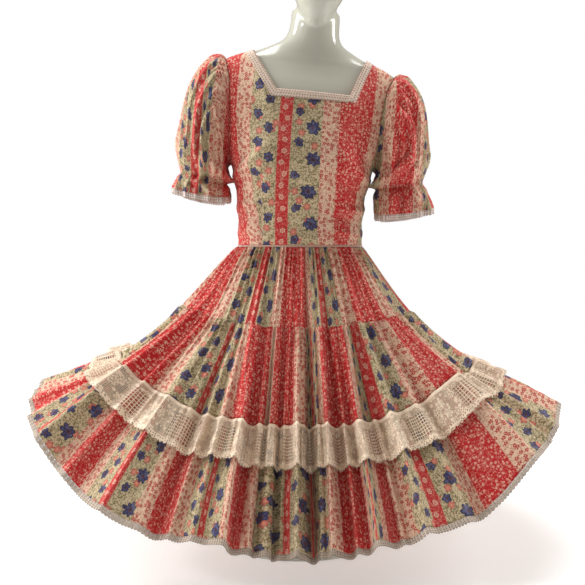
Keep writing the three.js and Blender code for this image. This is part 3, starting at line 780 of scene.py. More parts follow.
    color = finish.mix(wide_color, pink_color, to_pink)
    color = finish.mix(color, cream_color, to_cream)
    color = finish.mix(color, narrow_color, narrow)
    faded = finish.noise(cloth, 14.0, 3.0)
    color = finish.mix(color, (0.66, 0.52, 0.42), 0.04 * faded)
    color = finish.mix((0.66, 0.54, 0.45), color, strength)

    # plain weave: threads 0.4 mm apart over and under each other, with a few thicker ones
    threads = (u * 15700).sine() * (v * 15700).sine()
    slubs = finish.noise(finish.vector(u * 8, v * 160), 1.0, 2.0)
    finish.shade(
        Base_Color=color,
        Roughness=0.88 - 0.08 * slubs,
        Normal=finish.bump(threads * 0.3 + slubs, 0.35, 0.0004),
    )
    finish.shader.inputs["Sheen Weight"].default_value = 0.04
    finish.shader.inputs["Sheen Roughness"].default_value = 0.5
    finish.shader.inputs["Specular IOR Level"].default_value = 0.25
    return finish.material


print_right = printed_cotton("printed_cotton", 1.0)
print_wrong = printed_cotton("printed_cotton_wrong_side", 0.45)
print("print nodes", len(print_right.node_tree.nodes))

# %% [markdown]
# ## The laces
#
# The wide lace is woven as squares of net between flowers, with a firm border. The narrow laces are
# denser. Where lace has a hole there is nothing, so the pattern goes into the Alpha of the
# material: thread is 1 and a hole is 0.

# %% Wide lace: net, squares, flowers and a scalloped border
FLOUNCE = 0.084  # widths of the laces
NECK_TRIM = 0.016
NARROW_TRIM = 0.012
LACE = 0.0007  # thickness of every lace


def wide_lace(name):
    finish = Finish(name)
    u, v, _ = finish.parts(finish.uv())
    cloth = finish.vector(u, v)
    panel = (u * (1 / 0.150)).fraction()
    squares = abs(panel - 0.5).below(0.20, 0.02) * abs(v - 0.044).below(0.024, 0.002)

    def net(pitch, thread):
        across = abs((u * (1 / pitch)).fraction() - 0.5) * 2
        along = abs((v * (1 / pitch)).fraction() - 0.5) * 2
        return across.largest(along).below(1 - thread, 0.12)

    fine_holes = net(0.0024, 0.24)
    wide_holes = net(0.0062, 0.26)
    far, angle, chance, _ = finish.cells(u, v, 0.024, 1.3)
    petals = 0.09 * (angle * 6 + chance * 6).cosine()
    flower = abs(far - petals - 0.28).below(0.07, 0.03).largest(far.below(0.10, 0.03))
    leaf_far, _, leaf_chance, _ = finish.cells(u, v, 0.0105, 8.1)
    leaf = leaf_far.below(0.30, 0.05) * (leaf_chance > 0.55)
    figured = flower.largest(leaf) * (1 - squares)
    holes = (fine_holes * (1 - squares)).largest(wide_holes * squares) * (1 - figured)
    border = 1 - v.below(FLOUNCE - 0.0125, 0.0008)
    heading = v.below(0.007, 0.001)
    firm = border.largest(heading)
    eyelets = finish.cells(u, v, 0.0052, 3.0)[0].below(0.24, 0.08) * border
    holes = (holes * (1 - firm)).largest(eyelets * 0.8)
    scallop = FLOUNCE - 0.0034 + 0.0030 * abs((u * (math.pi / 0.011)).sine())
    inside = v.below(scallop, 0.0004)
    thread = 1 - holes
    shade = finish.noise(cloth, 60.0, 2.0)
    color = finish.mix((0.66, 0.47, 0.33), (0.90, 0.75, 0.58), thread * 0.5 + shade * 0.5)
    raised = figured * 0.6 + firm * 0.4 + finish.noise(cloth, 1400.0, 1.0) * 0.4
    alpha = inside * (1 - holes * 0.92)
    finish.shade(Base_Color=color, Roughness=0.9, Alpha=alpha, Normal=finish.bump(raised, 0.5, 0.0006))
    finish.shader.inputs["Sheen Weight"].default_value = 0.05
    return finish.material


def narrow_lace(name, width, color, dark):
    """A dense edging with two rows of small holes and a scalloped lower edge."""
    finish = Finish(name)
    u, v, _ = finish.parts(finish.uv())
    cloth = finish.vector(u, v)
    step = (u * (1 / 0.0056)).fraction() - 0.5
    pitch_v = width * 0.34
    row = ((v * (1 / pitch_v)).fraction() - 0.5) * (pitch_v / 0.0056)
    hole = (step * step + row * row).below(0.055, 0.03)
    far, _, chance, _ = finish.cells(u, v, 0.0034, 2.0)
    small = far.below(0.22, 0.08) * (chance > 0.5)
    holes = hole.largest(small * 0.7)
    scallop = width - 0.0022 + 0.0020 * abs((u * (math.pi / 0.0056)).sine())
    inside = v.below(scallop, 0.0004)
    shade = finish.noise(cloth, 180.0, 2.0)
    tone = finish.mix(dark, color, (1 - holes) * 0.7 + shade * 0.3)
    raised = (1 - holes) * 0.7 + finish.noise(cloth, 1600.0, 1.0) * 0.4
    alpha = inside * (1 - holes * 0.55)
    finish.shade(Base_Color=tone, Roughness=0.9, Alpha=alpha, Normal=finish.bump(raised, 0.5, 0.0005))
    finish.shader.inputs["Sheen Weight"].default_value = 0.05
    return finish.material


flounce_lace = wide_lace("flounce_lace")
neck_lace = narrow_lace("neck_lace", NECK_TRIM, (0.72, 0.58, 0.48), (0.58, 0.40, 0.32))
sleeve_lace = narrow_lace("sleeve_lace", NARROW_TRIM, (0.74, 0.64, 0.58), (0.42, 0.30, 0.27))
hem_lace = narrow_lace("hem_lace", NARROW_TRIM, (0.54, 0.44, 0.35), (0.14, 0.10, 0.08))
print("laces", flounce_lace.name, neck_lace.name, sleeve_lace.name, hem_lace.name)

# %% [markdown]
# ## The other finishes
#
# The form is a glossy moulded shell, a little uneven where hands have rubbed it. Its stand is
# painted sheet metal and a brushed tube. The zip has a woven tape, nylon teeth and a cast slider.

# %% Shell, paint, tube, cord and zip
def glossy_shell():
    finish = Finish("form_shell")
    place = finish.object_place()
    cloud = finish.noise(place, 5.0, 3.0)
    smudge = finish.noise(place, 38.0, 3.0)
    color = finish.mix((0.53, 0.525, 0.445), (0.61, 0.605, 0.52), cloud)
    finish.shade(
        Base_Color=color,
        Roughness=0.10 + 0.12 * smudge,
        Normal=finish.bump(finish.noise(place, 22.0, 1.0), 0.08, 0.002),
    )
    finish.shader.inputs["Coat Weight"].default_value = 0.25
    finish.shader.inputs["Coat Roughness"].default_value = 0.12
    return finish.material


def satin_paint():
    finish = Finish("stand_paint")
    place = finish.object_place()
    orange_peel = finish.noise(place, 420.0, 1.0)
    scuffs = finish.noise(place, 16.0, 4.0)
    color = finish.mix((0.58, 0.58, 0.52), (0.66, 0.66, 0.60), scuffs)
    finish.shade(
        Base_Color=color,
        Roughness=0.38 + 0.16 * scuffs,
        Normal=finish.bump(orange_peel, 0.12, 0.0005),
    )
    return finish.material


def brushed_tube():
    finish = Finish("stand_tube")
    x, y, z = finish.parts(finish.object_place())
    lines = finish.noise(finish.vector(x * 4, y * 4, z * 900), 1.0, 2.0)
    finish.shade(
        Base_Color=finish.mix((0.52, 0.52, 0.51), (0.66, 0.66, 0.65), lines),
        Roughness=0.26 + 0.14 * lines,
        Normal=finish.bump(lines, 0.1, 0.0003),
    )
    finish.shader.inputs["Metallic"].default_value = 1.0
    return finish.material


def cast_metal():
    finish = Finish("zip_metal")
    place = finish.object_place()
    wear = finish.noise(place, 700.0, 2.0)
    finish.shade(
        Base_Color=finish.mix((0.50, 0.49, 0.47), (0.74, 0.73, 0.70), wear),
        Roughness=0.30 + 0.18 * wear,
        Normal=finish.bump(wear, 0.15, 0.0002),
    )
    finish.shader.inputs["Metallic"].default_value = 1.0
    return finish.material


def covered_cord():
    finish = Finish("piping")
    u, v, _ = finish.parts(finish.uv())
    twill = ((u + v * 1.2) * 5200).sine()
    tone = finish.noise(finish.vector(u, v), 260.0, 2.0)
    finish.shade(
        Base_Color=finish.mix((0.52, 0.28, 0.22), (0.72, 0.52, 0.42), tone),
        Roughness=0.86 + 0.06 * tone,
        Normal=finish.bump(twill, 0.3, 0.0003),
    )
    return finish.material


def zip_nylon():
    finish = Finish("zip_nylon")
    x, y, z = finish.parts(finish.object_place())
    weave = (x * 9000).sine() * (z * 9000).sine()
    tone = finish.noise(finish.vector(x, y, z), 90.0, 2.0)
    finish.shade(
        Base_Color=finish.mix((0.74, 0.68, 0.58), (0.86, 0.82, 0.74), tone),
        Roughness=0.52 + 0.2 * tone,
        Normal=finish.bump(weave, 0.25, 0.0002),
    )
    return finish.material


def studio_floor():
    finish = Finish("floor")
    cloud = finish.noise(finish.object_place(), 1.5, 2.0)
    finish.shade(
        Base_Color=finish.mix((0.84, 0.84, 0.84), (0.86, 0.86, 0.86), cloud),
        Roughness=0.82 + 0.06 * cloud,
    )
    finish.shader.inputs["Emission Color"].default_value = (1, 1, 1, 1)
    finish.shader.inputs["Emission Strength"].default_value = 0.30
    return finish.material


shell, paint, tube = glossy_shell(), satin_paint(), brushed_tube()
metal, cord_cloth, nylon = cast_metal(), covered_cord(), zip_nylon()
floor.data.materials.append(studio_floor())
print("finishes", [m.name for m in bpy.data.materials])

# %% [markdown]
# ## Bodice
#
# The front is one piece of cloth with a square neck, two curved armholes and a dart under each
# bust. A cutter thinks of it as a middle panel as wide as the neck with a side panel on each side,
# so it is made as three grids whose edges lie on the neckline and on the armhole. The rows of the
# grids are closest where the armhole curves most. Each back is one such panel from the zip to the
# side seam.

# %% Edges of the panels
# The neckline is worn a little to one side: height, and the two corners to the wearer's right and
# left, at the shoulder seam, in front and behind
NECK_POINT = dict(up=0.386, right=-0.120, left=0.111)
NECK_FRONT = dict(up=0.302, right=-0.060, left=0.084)
NECK_BACK = dict(up=0.347, right=-0.088, left=0.079)
ARMHOLE = dict(up=0.262, high=0.102, deep=0.062)
ARMHOLE_STEPS = 32
ZIP_EDGE = 0.0034  # from the middle of the back to the cloth's edge
BODICE_LOW = 0.0019
BODICE_TOP = 0.3885


def neck_across(neck, side, up, margin=0.0):
    """Where one side of the neckline is at a height, or a line outside it by a margin."""
    run = (NECK_POINT[side] - neck[side]) / (NECK_POINT["up"] - neck["up"])
    way = 1 if side == "left" else -1
    return neck[side] + run * (up - neck["up"]) + way * margin * math.hypot(1, run)


def outer_angle(up, behind):
    """The side seam's angle, or the armhole's where it cuts into the panel."""
    t = (up - ARMHOLE["up"]) / ARMHOLE["high"]
    if abs(t) >= 1:
        return math.pi / 2
    y = ARMHOLE["deep"] * math.sqrt(1 - t * t)
    return angle_deep(y if behind else -y, up)


def panel_rows(neck_up):
    low = [BODICE_LOW + (0.160 - BODICE_LOW) * i / 40 for i in range(40)]
    turns = [math.pi * i / ARMHOLE_STEPS for i in range(ARMHOLE_STEPS + 1)]
    beside = [ARMHOLE["up"] - ARMHOLE["high"] * math.cos(turn) for turn in turns]
    top = [0.364 + (BODICE_TOP - 0.364) * i / 8 for i in range(1, 9)]
    rows = low + beside + top
    nearest = min(range(len(rows)), key=lambda i: abs(rows[i] - neck_up))
    rows[nearest] = neck_up
    return rows, nearest


print("rows of the front", len(panel_rows(NECK_FRONT["up"])[0]))

# %% Creases and darts, placed one by one
DARTS = [(-0.085, 0.035), (0.085, 0.040)]  # place on the waist, and cloth taken in there
DART_TOP = 0.150
RIDGE, TROUGH = 2.6, 1.5  # ridges stand higher than troughs can sink towards the form
CREASES = [  # from and to, across and up: metres; half width and height: mm
    (-0.140, 0.150, -0.088, 0.196, 8, -2.6),
    (-0.136, 0.134, -0.080, 0.176, 7, 2.2),
    (-0.134, 0.112, -0.066, 0.140, 8, -2.4),
    (-0.130, 0.074, -0.050, 0.102, 9, 2.2),
    (-0.124, 0.052, -0.070, 0.062, 6, -2.2),
    (-0.122, 0.026, -0.040, 0.044, 6, 2.0),
    (-0.118, 0.014, -0.060, 0.018, 4, -1.6),
    (0.136, 0.160, 0.094, 0.214, 8, -2.8),
    (0.134, 0.132, 0.074, 0.182, 8, 2.4),
    (0.132, 0.100, 0.060, 0.130, 7, -2.4),
    (0.126, 0.070, 0.078, 0.078, 7, 2.2),
    (0.124, 0.046, 0.048, 0.062, 6, -2.2),
    (0.120, 0.022, 0.060, 0.032, 5, 2.0),
    (-0.118, 0.292, -0.086, 0.250, 8, -2.4),
    (-0.100, 0.322, -0.070, 0.268, 7, 1.8),
    (0.122, 0.286, 0.090, 0.238, 9, -2.6),
    (0.104, 0.318, 0.074, 0.262, 7, 1.8),
    (-0.030, 0.252, 0.032, 0.262, 9, -1.8),
    (-0.048, 0.196, 0.050, 0.206, 11, 1.6),
    (-0.034, 0.128, 0.020, 0.112, 10, -2.2),
    (-0.020, 0.086, 0.038, 0.094, 9, 2.0),
    (-0.036, 0.040, 0.022, 0.030, 7, -1.8),
    (-0.010, 0.016, 0.046, 0.020, 5, 1.6),
]


def crease_rise(across, up, creases):
    """Soft troughs and ridges along short lines, fading at both ends."""
    rise = 0
    for x0, h0, x1, h1, wide, high in creases:
        dx, dh = x1 - x0, h1 - h0
        t = ((across - x0) * dx + (up - h0) * dh) / (dx * dx + dh * dh)
        if -0.4 < t < 1.4:
            away = math.hypot(across - x0 - t * dx, up - h0 - t * dh) / (wide * MM)
            if away < 3:
                end = max(abs(t - 0.5) - 0.15, 0) / 0.4
                depth = high * (RIDGE if high > 0 else TROUGH) * MM
                rise += depth * math.exp(-away * away - end * end)
    return rise


def dart_rise(across, up):
    """The groove of a dart's seam, with the cloth standing a little proud beside its tip."""
    rise = 0
    for at, taken in DARTS:
        place = at * (0.90 + 0.35 * up)
        fade = min(max((DART_TOP - up) / 0.03, 0), 1)
        away = (abs(across) - abs(place)) if across * at > 0 else 1
        rise -= 0.0028 * fade * math.exp(-((away / 0.0022) ** 2))
        tip = math.hypot(away, up - DART_TOP) / 0.014
        rise += 0.0034 * math.exp(-tip * tip)
    return rise


def bodice_rise(angle, up):
    p = figure(angle, up, EASE)
    behind = p.y > 0
    rise = crease_rise(-p.x * 0.96 + 0.003 if behind else p.x, up, CREASES)
    if not behind:
        rise += dart_rise(p.x, up)
    calm = min(up / 0.012, 1) * min(max(0.385 - up, 0) / 0.02, 1)
    return rise * calm


def bodice_point(angle, up, lift):
    return lean(over_figure(angle, up, lift + bodice_rise(angle, up)))


print("creases", len(CREASES), "darts", len(DARTS))

# %% Place of the bodice on its fabric
def arc_lengths(up, start):
    """Distances along the cloth from the start to each degree of the next 90."""
    lengths = [0.0]
    last = figure(start, up, EASE)
    for degree in range(1, 91):
        point = figure(start + math.radians(degree), up, EASE)
        lengths.append(lengths[-1] + (point - last).length)
        last = point
    return lengths


class Fabric:
    """Metres across and up the cloth for a place on the bodice, with the darts taken out."""

    def __init__(self, start, shift, darts):
        self.start = start
        self.shift = shift
        self.darts = darts
        self.rows = {}

    def place(self, angle, up):
        key = round(up, 5)
        if key not in self.rows:
            self.rows[key] = arc_lengths(up, self.start)
        lengths = self.rows[key]
        degrees = math.degrees(angle - self.start)
        side = math.copysign(1, degrees)
        whole = min(int(abs(degrees)), 89)
        part = abs(degrees) - whole
        arc = side * (lengths[whole] + (lengths[whole + 1] - lengths[whole]) * part)
        for at, taken in self.darts:
            if arc * at > 0 and abs(arc) > abs(at) * (0.90 + 0.35 * up):
                arc += side * taken * max(1 - up / DART_TOP, 0)
        return (arc + self.shift, up)


front_fabric = Fabric(0.0, NARROW_MIDDLE + 0.037, DARTS)
print("waist of the front, half way round", round(arc_lengths(0.0, 0.0)[-1], 3))


# %% Front and backs of the bodice
def panel(bm, rows, inner, outer, fabric, columns, lift):
    """Adds a grid whose left and right edges are functions of the height."""
    last = len(rows) - 1

    def at(u, v):
        up = rows[round(v * last)]
        low, high = inner(up), outer(up)
        return low + (high - low) * u, up

    def place(u, v):
        angle, up = at(u, v)
        return bodice_point(angle, up, lift)

    def cloth(u, v):
        angle, up = at(u, v)
        return fabric.place(angle, up)

    sheet_grid(bm, columns, last, place, cloth)


MIDDLE = 0.00075  # from the bodice's inner face to the middle of its cloth


def bodice_front():
    bm = bmesh.new()
    rows, neck_row = panel_rows(NECK_FRONT["up"])

    def neck(side, up):
        return angle_across(neck_across(NECK_FRONT, side, max(up, NECK_FRONT["up"])), up)

    def left(up):
        return max(min(neck("left", up), outer_angle(up, False)), 0)

    def right(up):
        return min(max(neck("right", up), -outer_angle(up, False)), 0)

    panel(bm, rows[: neck_row + 1], right, left, front_fabric, 42, MIDDLE)
    panel(bm, rows, left, lambda up: outer_angle(up, False), front_fabric, 34, MIDDLE)
    panel(bm, rows, lambda up: -outer_angle(up, False), right, front_fabric, 34, MIDDLE)
    return finished_cloth("bodice_front_cloth", bm, CLOTH, [print_right, print_wrong])


def bodice_back(side, name):
    bm = bmesh.new()
    rows, neck_row = panel_rows(NECK_BACK["up"])
    key = "left" if side > 0 else "right"

    def inner(up):
        return side * math.pi - angle_across(side * ZIP_EDGE, up)

    def outer(up):
        return side * (math.pi - outer_angle(up, True))

    def neck(up):
        across = neck_across(NECK_BACK, key, max(up, NECK_BACK["up"]))
        angle = side * math.pi - angle_across(across, up)
        return side * max(abs(angle), abs(outer(up)))

    fabric = Fabric(side * math.pi, NARROW_MIDDLE - 0.052, [])
    low_rows = rows[: neck_row + 1]
    if side > 0:
        panel(bm, low_rows, neck, inner, fabric, 26, MIDDLE)
        panel(bm, rows, outer, neck, fabric, 34, MIDDLE)
    else:
        panel(bm, low_rows, inner, neck, fabric, 26, MIDDLE)
        panel(bm, rows, neck, outer, fabric, 34, MIDDLE)
    return finished_cloth(name, bm, CLOTH, [print_right, print_wrong])


front = bodice_front()
back_left = bodice_back(1, "bodice_back_left_cloth")
back_right = bodice_back(-1, "bodice_back_right_cloth")
for piece in (front, back_left, back_right):
    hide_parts(piece.name.replace("_cloth", ""))
    print(piece.name, "area", round(sheet_area(piece), 4), "faces", len(piece.data.polygons))

# %% [markdown]
# ## Puffed sleeves
#
# Each sleeve is a tube gathered into the armhole at its head. It puffs out over the upper arm, is
# drawn in again by elastic in a casing, and ends in a ruffle edged with lace. The tables give the
# rings of the tube, and the pleats are soft ridges that run from the head to the casing.

# %% Rings and pleats of the sleeves
SLEEVE = [  # outer end across and up, inner end across and up, half depth, pleats: mm
    (0, 171, 364, 152, 161, 62, 0),
    (1, 186, 366, 153, 158, 72, 2),
    (2, 204, 356, 153, 154, 79, 4),
    (3, 224, 333, 152, 150, 83, 5),
    (4, 240, 296, 151, 146, 85, 5),
    (5, 248, 248, 150, 141, 82, 5),
    (6, 249, 194, 149, 134, 75, 5),
    (7, 251, 142, 148, 120, 58, 4),
]
SLEEVE_HEMS = {"left": (266, 86, 155, 70, 78, 7), "right": (257, 112, 146, 98, 76, 7)}
SLEEVE_PLEATS = [  # degrees from the outer end, half width
    (8, 13),
    (44, 15),
    (82, 16),
    (128, 20),
    (205, 22),
    (250, 18),
    (290, 15),
    (326, 13),
]
CASING = 7  # the row of the table where the elastic runs
SLEEVE_END = 9
SLEEVE_SAG = 0.009
SLEEVE_LIFT = 0.00075
SEAM_TUCK = 0.0012  # the sleeve's edge is tucked in behind the bodice's by this much


def sleeve_rows(name):
    casing = SLEEVE[-1][1:]
    hem = SLEEVE_HEMS[name]
    middle = [a * 0.42 + b * 0.58 for a, b in zip(casing, hem)]
    return [*SLEEVE, (8, *middle), (9, *hem)]


print("rings of a sleeve", len(sleeve_rows("left")), "pleats", len(SLEEVE_PLEATS))

# %% Gathers and creases of the sleeves
sleeve_head = Gathers(36, 21, 0.0105, 2.1)
casing_gathers = Gathers(54, 23, 0.0036, 9.0)
ruffle_waves = Gathers(15, 25, 0.0160, 9.0)
sleeve_creases = Gathers(19, 27, 0.0120, 9.0)
SLEEVE_CREASES = {  # across from the middle of the front outwards, and up from the casing: as CREASES
    "left": [
        (-0.033, 0.045, 0.014, 0.072, 6, -2.6),
        (-0.030, 0.028, 0.021, 0.052, 8, 2.2),
        (-0.007, 0.008, 0.024, 0.031, 5, -2.6),
        (0.024, 0.031, 0.045, 0.040, 5, -2.2),
        (0.024, 0.026, 0.029, -0.020, 7, 2.0),
        (0.010, 0.200, 0.024, 0.085, 7, 1.6),
        (0.028, 0.190, 0.040, 0.085, 7, -2.2),
        (-0.046, 0.120, -0.054, 0.050, 7, -2.6),
        (-0.020, -0.014, -0.028, -0.050, 8, 1.8),
        (0.004, -0.016, 0.000, -0.048, 6, -2.4),
        (0.034, -0.018, 0.050, -0.050, 8, 2.0),
    ],
    "right": [
        (-0.001, 0.165, 0.001, 0.070, 6, 2.0),
        (0.012, 0.180, 0.012, 0.080, 6, -2.4),
        (-0.038, 0.212, 0.000, 0.182, 8, 1.8),
        (0.052, 0.010, 0.028, 0.044, 9, 2.0),
        (0.005, -0.020, -0.003, 0.045, 6, 2.0),
        (0.014, 0.030, 0.017, -0.010, 6, -2.6),
        (-0.018, 0.050, -0.010, -0.008, 6, -2.4),
        (-0.034, 0.062, -0.026, 0.006, 8, 1.8),
        (-0.030, 0.150, -0.036, 0.080, 8, -2.0),
        (0.030, -0.020, 0.014, -0.048, 6, -2.4),
        (-0.004, -0.026, -0.022, -0.052, 8, 2.0),
    ],
}
RING_APART = 0.037  # between two rows of the table, along the cloth
SLEEVE_DEEPER = 1.6  # nothing lies under a sleeve, so its creases are deeper than the bodice's
SLEEVE_GIRTH = 0.42  # round the puff, for the places of its creases


def sleeve_rise(name, turn, along):
    """Gathers at the head, crinkles at the casing, waves in the ruffle, and listed creases."""
    share = turn / (2 * math.pi)
    upper = 1 + 0.35 * math.cos(turn)  # the head has most of its gathers at the top
    rise = sleeve_head.ridge_sum(share, along) * upper * started(along, 0.25)
    puff = started(along - 0.6, 1.6) * started(CASING - along, 1.0)
    rise += (sleeve_creases.ridge_sum(share + 0.013 * along, 0) - 0.004) * puff
    near = (along - CASING) / 0.55
    rise += casing_gathers.ridge_sum(share, 0) * math.exp(-near * near)
    dip = (along - CASING) / 0.30
    rise -= 0.0085 * math.exp(-dip * dip)
    blouse = (along - 6.05) / 0.60
    rise += 0.0075 * math.exp(-blouse * blouse)
    if along > CASING:
        wave = started(along - CASING, 1.8)
        rise += (ruffle_waves.ridge_sum(share, 0) - 0.0065) * wave
    from_front = (math.degrees(turn) + 270) % 360 - 180
    across = from_front / 360 * SLEEVE_GIRTH
    up = (CASING - along) * RING_APART
    return rise + SLEEVE_DEEPER * crease_rise(across, up, SLEEVE_CREASES[name])


print("creases of the sleeves", len(SLEEVE_CREASES["left"]), len(SLEEVE_CREASES["right"]))


# %% Points of a sleeve
def upright_sleeve(look, side, turn, along, lift):
    s, c = math.sin(turn), math.cos(turn)
    arm_y = (ARMHOLE["deep"] - SEAM_TUCK) * s
    arm_up = ARMHOLE["up"] + (ARMHOLE["high"] - SEAM_TUCK) * c
    hung = Vector((side * (side_at(arm_y, arm_up, EASE) + 0.0004), arm_y, arm_up))
    out_x, out_z, in_x, in_z, deep, pleat = (value * MM for value in look(along))
    middle = Vector(((out_x + in_x) / 2, 0, (out_z + in_z) / 2))
    radial = Vector(((out_x - in_x) / 2 * c, deep * s, (out_z - in_z) / 2 * c))
    ridges = 0
    for at, wide in SLEEVE_PLEATS:
        away = (math.degrees(turn) - at + 540) % 360 - 180
        ridges += math.exp(-((away / wide) ** 2))
    name = "left" if side > 0 else "right"
    rise = pleat * (ridges - 0.4) + lift + sleeve_rise(name, turn, along)
    free = middle + radial * (1 + rise / radial.length)
    below = max(along - CASING, 0) / (SLEEVE_END - CASING)
    free.z -= SLEEVE_SAG * below * abs(s)
    free.x *= side
    mix = min(along, 1)
    return hung.lerp(free, mix * mix * (3 - 2 * mix))


def sleeve_point(look, side, turn, along, lift):
    return lean(upright_sleeve(look, side, turn, along, lift))


GRAIN_MIDDLE, GRAIN_HALF = 0.1995, 0.054  # of the casing, where all stripes start upwards


def grain_turn(point, side, turn):
    """Stripes run straight up the cloth, not along the sleeve's pleats: the turn at which a point's
    stripe passes the casing."""
    share = (side * point.x - GRAIN_MIDDLE) / GRAIN_HALF
    straight = math.degrees(math.acos(min(max(share, -1), 1)))
    around = (math.degrees(turn) + 180) % 360 - 180
    straight = math.copysign(straight, around)
    near_top = started(abs(point.y), 0.034)
    return around + (straight - around) * near_top


print("casing's middle in front", lean(Vector((GRAIN_MIDDLE, 0, SLEEVE[-1][2] * MM))))

# %% Left and right sleeve with their lace
SLEEVE_FLAT = 0.50  # width of the cloth that goes round the sleeve
SLEEVE_STRIPES = {  # degrees inwards from the outer end, and repeats of the print there
    "left": [(-180, 1.344), (180, -0.448)],
    "right": [
        (-180, -0.757), (67.5, 0.455), (85.5, 0.545), (105.5, 0.757), (140, 0.875), (180, 1.10),
    ],
}


def lengths_to_hem(look, side):
    """Distance along the cloth from the hem, for each 5 degrees of turn and each tenth of a ring."""
    table = []
    for five in range(73):
        turn = side * math.radians(180 + 5 * five)
        points = [sleeve_point(look, side, turn, i / 10, 0) for i in range(10 * SLEEVE_END + 1)]
        steps = [(b - a).length for a, b in zip(points, points[1:])]
        table.append([sum(steps[i:]) for i in range(len(points))])
    return table


def make_sleeve(name, side):
    look = tabulated(sleeve_rows(name), range(1, 7), 0, SLEEVE_END, 180)
    lengths = lengths_to_hem(look, side)

    def turn_at(u):
        return side * 2 * math.pi * (u + 0.5)  # the seam is on the inner side

    def place(u, v):
        return sleeve_point(look, side, turn_at(u), SLEEVE_END * (1 - v), SLEEVE_LIFT)

    def cloth(u, v):
        turn = turn_at(min(max(u, 1e-4), 1 - 1e-4))
        point = upright_sleeve(look, side, turn, SLEEVE_END * (1 - v), 0)
        inwards = -grain_turn(point, side, turn)
        return (between(SLEEVE_STRIPES[name], inwards) * REPEAT, look_up(lengths, u, 1 - v))

    bm = bmesh.new()
    sheet_grid(bm, 232, 104, place, cloth)
    sleeve = finished_cloth(f"sleeve_{name}_cloth", bm, CLOTH, [print_right, print_wrong])

    def lace_place(u, v):
        point = sleeve_point(look, side, turn_at(u), SLEEVE_END, SLEEVE_LIFT)
        return point - Vector((0, 0, NARROW_TRIM * (1 - v) + 0.0002))

    bm = bmesh.new()
    sheet_grid(bm, 232, 4, lace_place, lambda u, v: (u * SLEEVE_FLAT, NARROW_TRIM * (1 - v)))
    lace = finished_cloth(f"sleeve_trim_{name}_lace", bm, LACE, [sleeve_lace])
    print(sleeve.name, "outside", round(lengths[36][0], 3), "area", round(sheet_area(sleeve), 4))
    return sleeve, lace


sleeve_left, sleeve_lace_left = make_sleeve("left", 1)
sleeve_right, sleeve_lace_right = make_sleeve("right", -1)
for piece in (sleeve_left, sleeve_right):
    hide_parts(piece.name.replace("_cloth", ""))
for piece in (sleeve_lace_left, sleeve_lace_right):
    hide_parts(piece.name.replace("_lace", ""))

# %% [markdown]
# ## Skirt
#
# Three straight lengths of cloth, each longer than the one above, are gathered and sewn into rings.
# The grid of each tier runs right round. The print doesn't run evenly round the skirt: the folds
# swallow some of it and show the rest, so a short table says which stripe shows where.

# %% Which stripe shows where, in repeats of the print by direction
STRIPES_1 = [
    (-180, -2.6), (-82.1, -1.125), (-64.6, -0.875), (-40.8, -0.545), (-33.3, -0.455),
    (-23.3, -0.243), (-16.4, -0.125), (5.9, 0.125), (10.0, 0.243), (16.8, 0.455),
    (22.5, 0.545), (32.2, 0.757), (42.9, 0.875), (61.2, 1.125), (180, 3.05),
]
STRIPES_2 = [
    (-180, -3.1), (-78, -1.125), (-65.4, -0.875), (-59.8, -0.757), (-49.7, -0.545),
    (-48.4, -0.455), (-37.0, -0.125), (-21.1, 0.125), (-18.1, 0.875), (-4.2, 1.125),
    (4.9, 1.243), (12.3, 1.757), (14.9, 1.875), (32.0, 2.125), (38.0, 2.455),
    (43.1, 2.545), (52.2, 2.757), (60.1, 2.875), (69.4, 3.125), (180, 4.9),
]
STRIPES_3 = [
    (-180, -4.6), (-130, -3.3), (-95, -2.3), (-88, -2.1), (-80, -1.88), (-74, -1.5), (-66.2, -1.0),
    (-58.4, -0.5), (-50.0, -0.125), (-45.4, 0.125), (-42.4, 0.25), (-37.4, 0.545),
    (-33.1, 0.757), (-30.9, 0.875), (-25.9, 1.125), (-21.4, 1.243), (-19.8, 1.3),
    (-8.1, 1.455), (-5.1, 1.545), (0, 1.65), (4.6, 1.75), (8.1, 2.6), (19.4, 2.875),
    (29.9, 3.125), (33.0, 3.7), (35, 3.875), (38.2, 4.125), (42.8, 4.25), (46.3, 4.455),
    (48.9, 4.545), (55.7, 4.78), (57, 4.875), (64, 5.125), (95, 6.1), (122, 6.9), (180, 8.4),
]
for number, stripes in enumerate((STRIPES_1, STRIPES_2, STRIPES_3), 1):
    print("repeats round tier", number, round(stripes[-1][1] - stripes[0][1], 2))


# %% Three tiers
def ring_cloth(name, columns, rows, high, low, place, fabric, thickness, materials, span=(-180, 180)):
    """A band of the skirt between two distances down the cloth, its rows from the hem upwards."""

    def here(u, v):
        return span[0] + (span[1] - span[0]) * u, low + (high - low) * v

    bm = bmesh.new()
    sheet_grid(bm, columns, rows, lambda u, v: place(*here(u, v)), lambda u, v: fabric(*here(u, v)))
    return finished_cloth(name, bm, thickness, materials)


def skirt_lengths():
    """Distance down the bell from the waist, for each 5 degrees and each centimetre of cloth."""
    table = []
    for five in range(73):
        angle = math.radians(5 * five - 180)
        points = [bell(angle, i / 100) for i in range(SKIRT_STEPS + 1)]
        row = [0]
        for a, b in zip(points, points[1:]):
            row.append(row[-1] + (b - a).length)
        table.append(row)
    return table


SKIRT_STEPS = 56
lengths_down = skirt_lengths()
SKIRT_MIDDLE = -0.00075  # the tiers' cloth lies this far in from the skirt's outer face
ROWS_FROM = 0.6  # the print's rows of flowers are counted up from this far below the waist


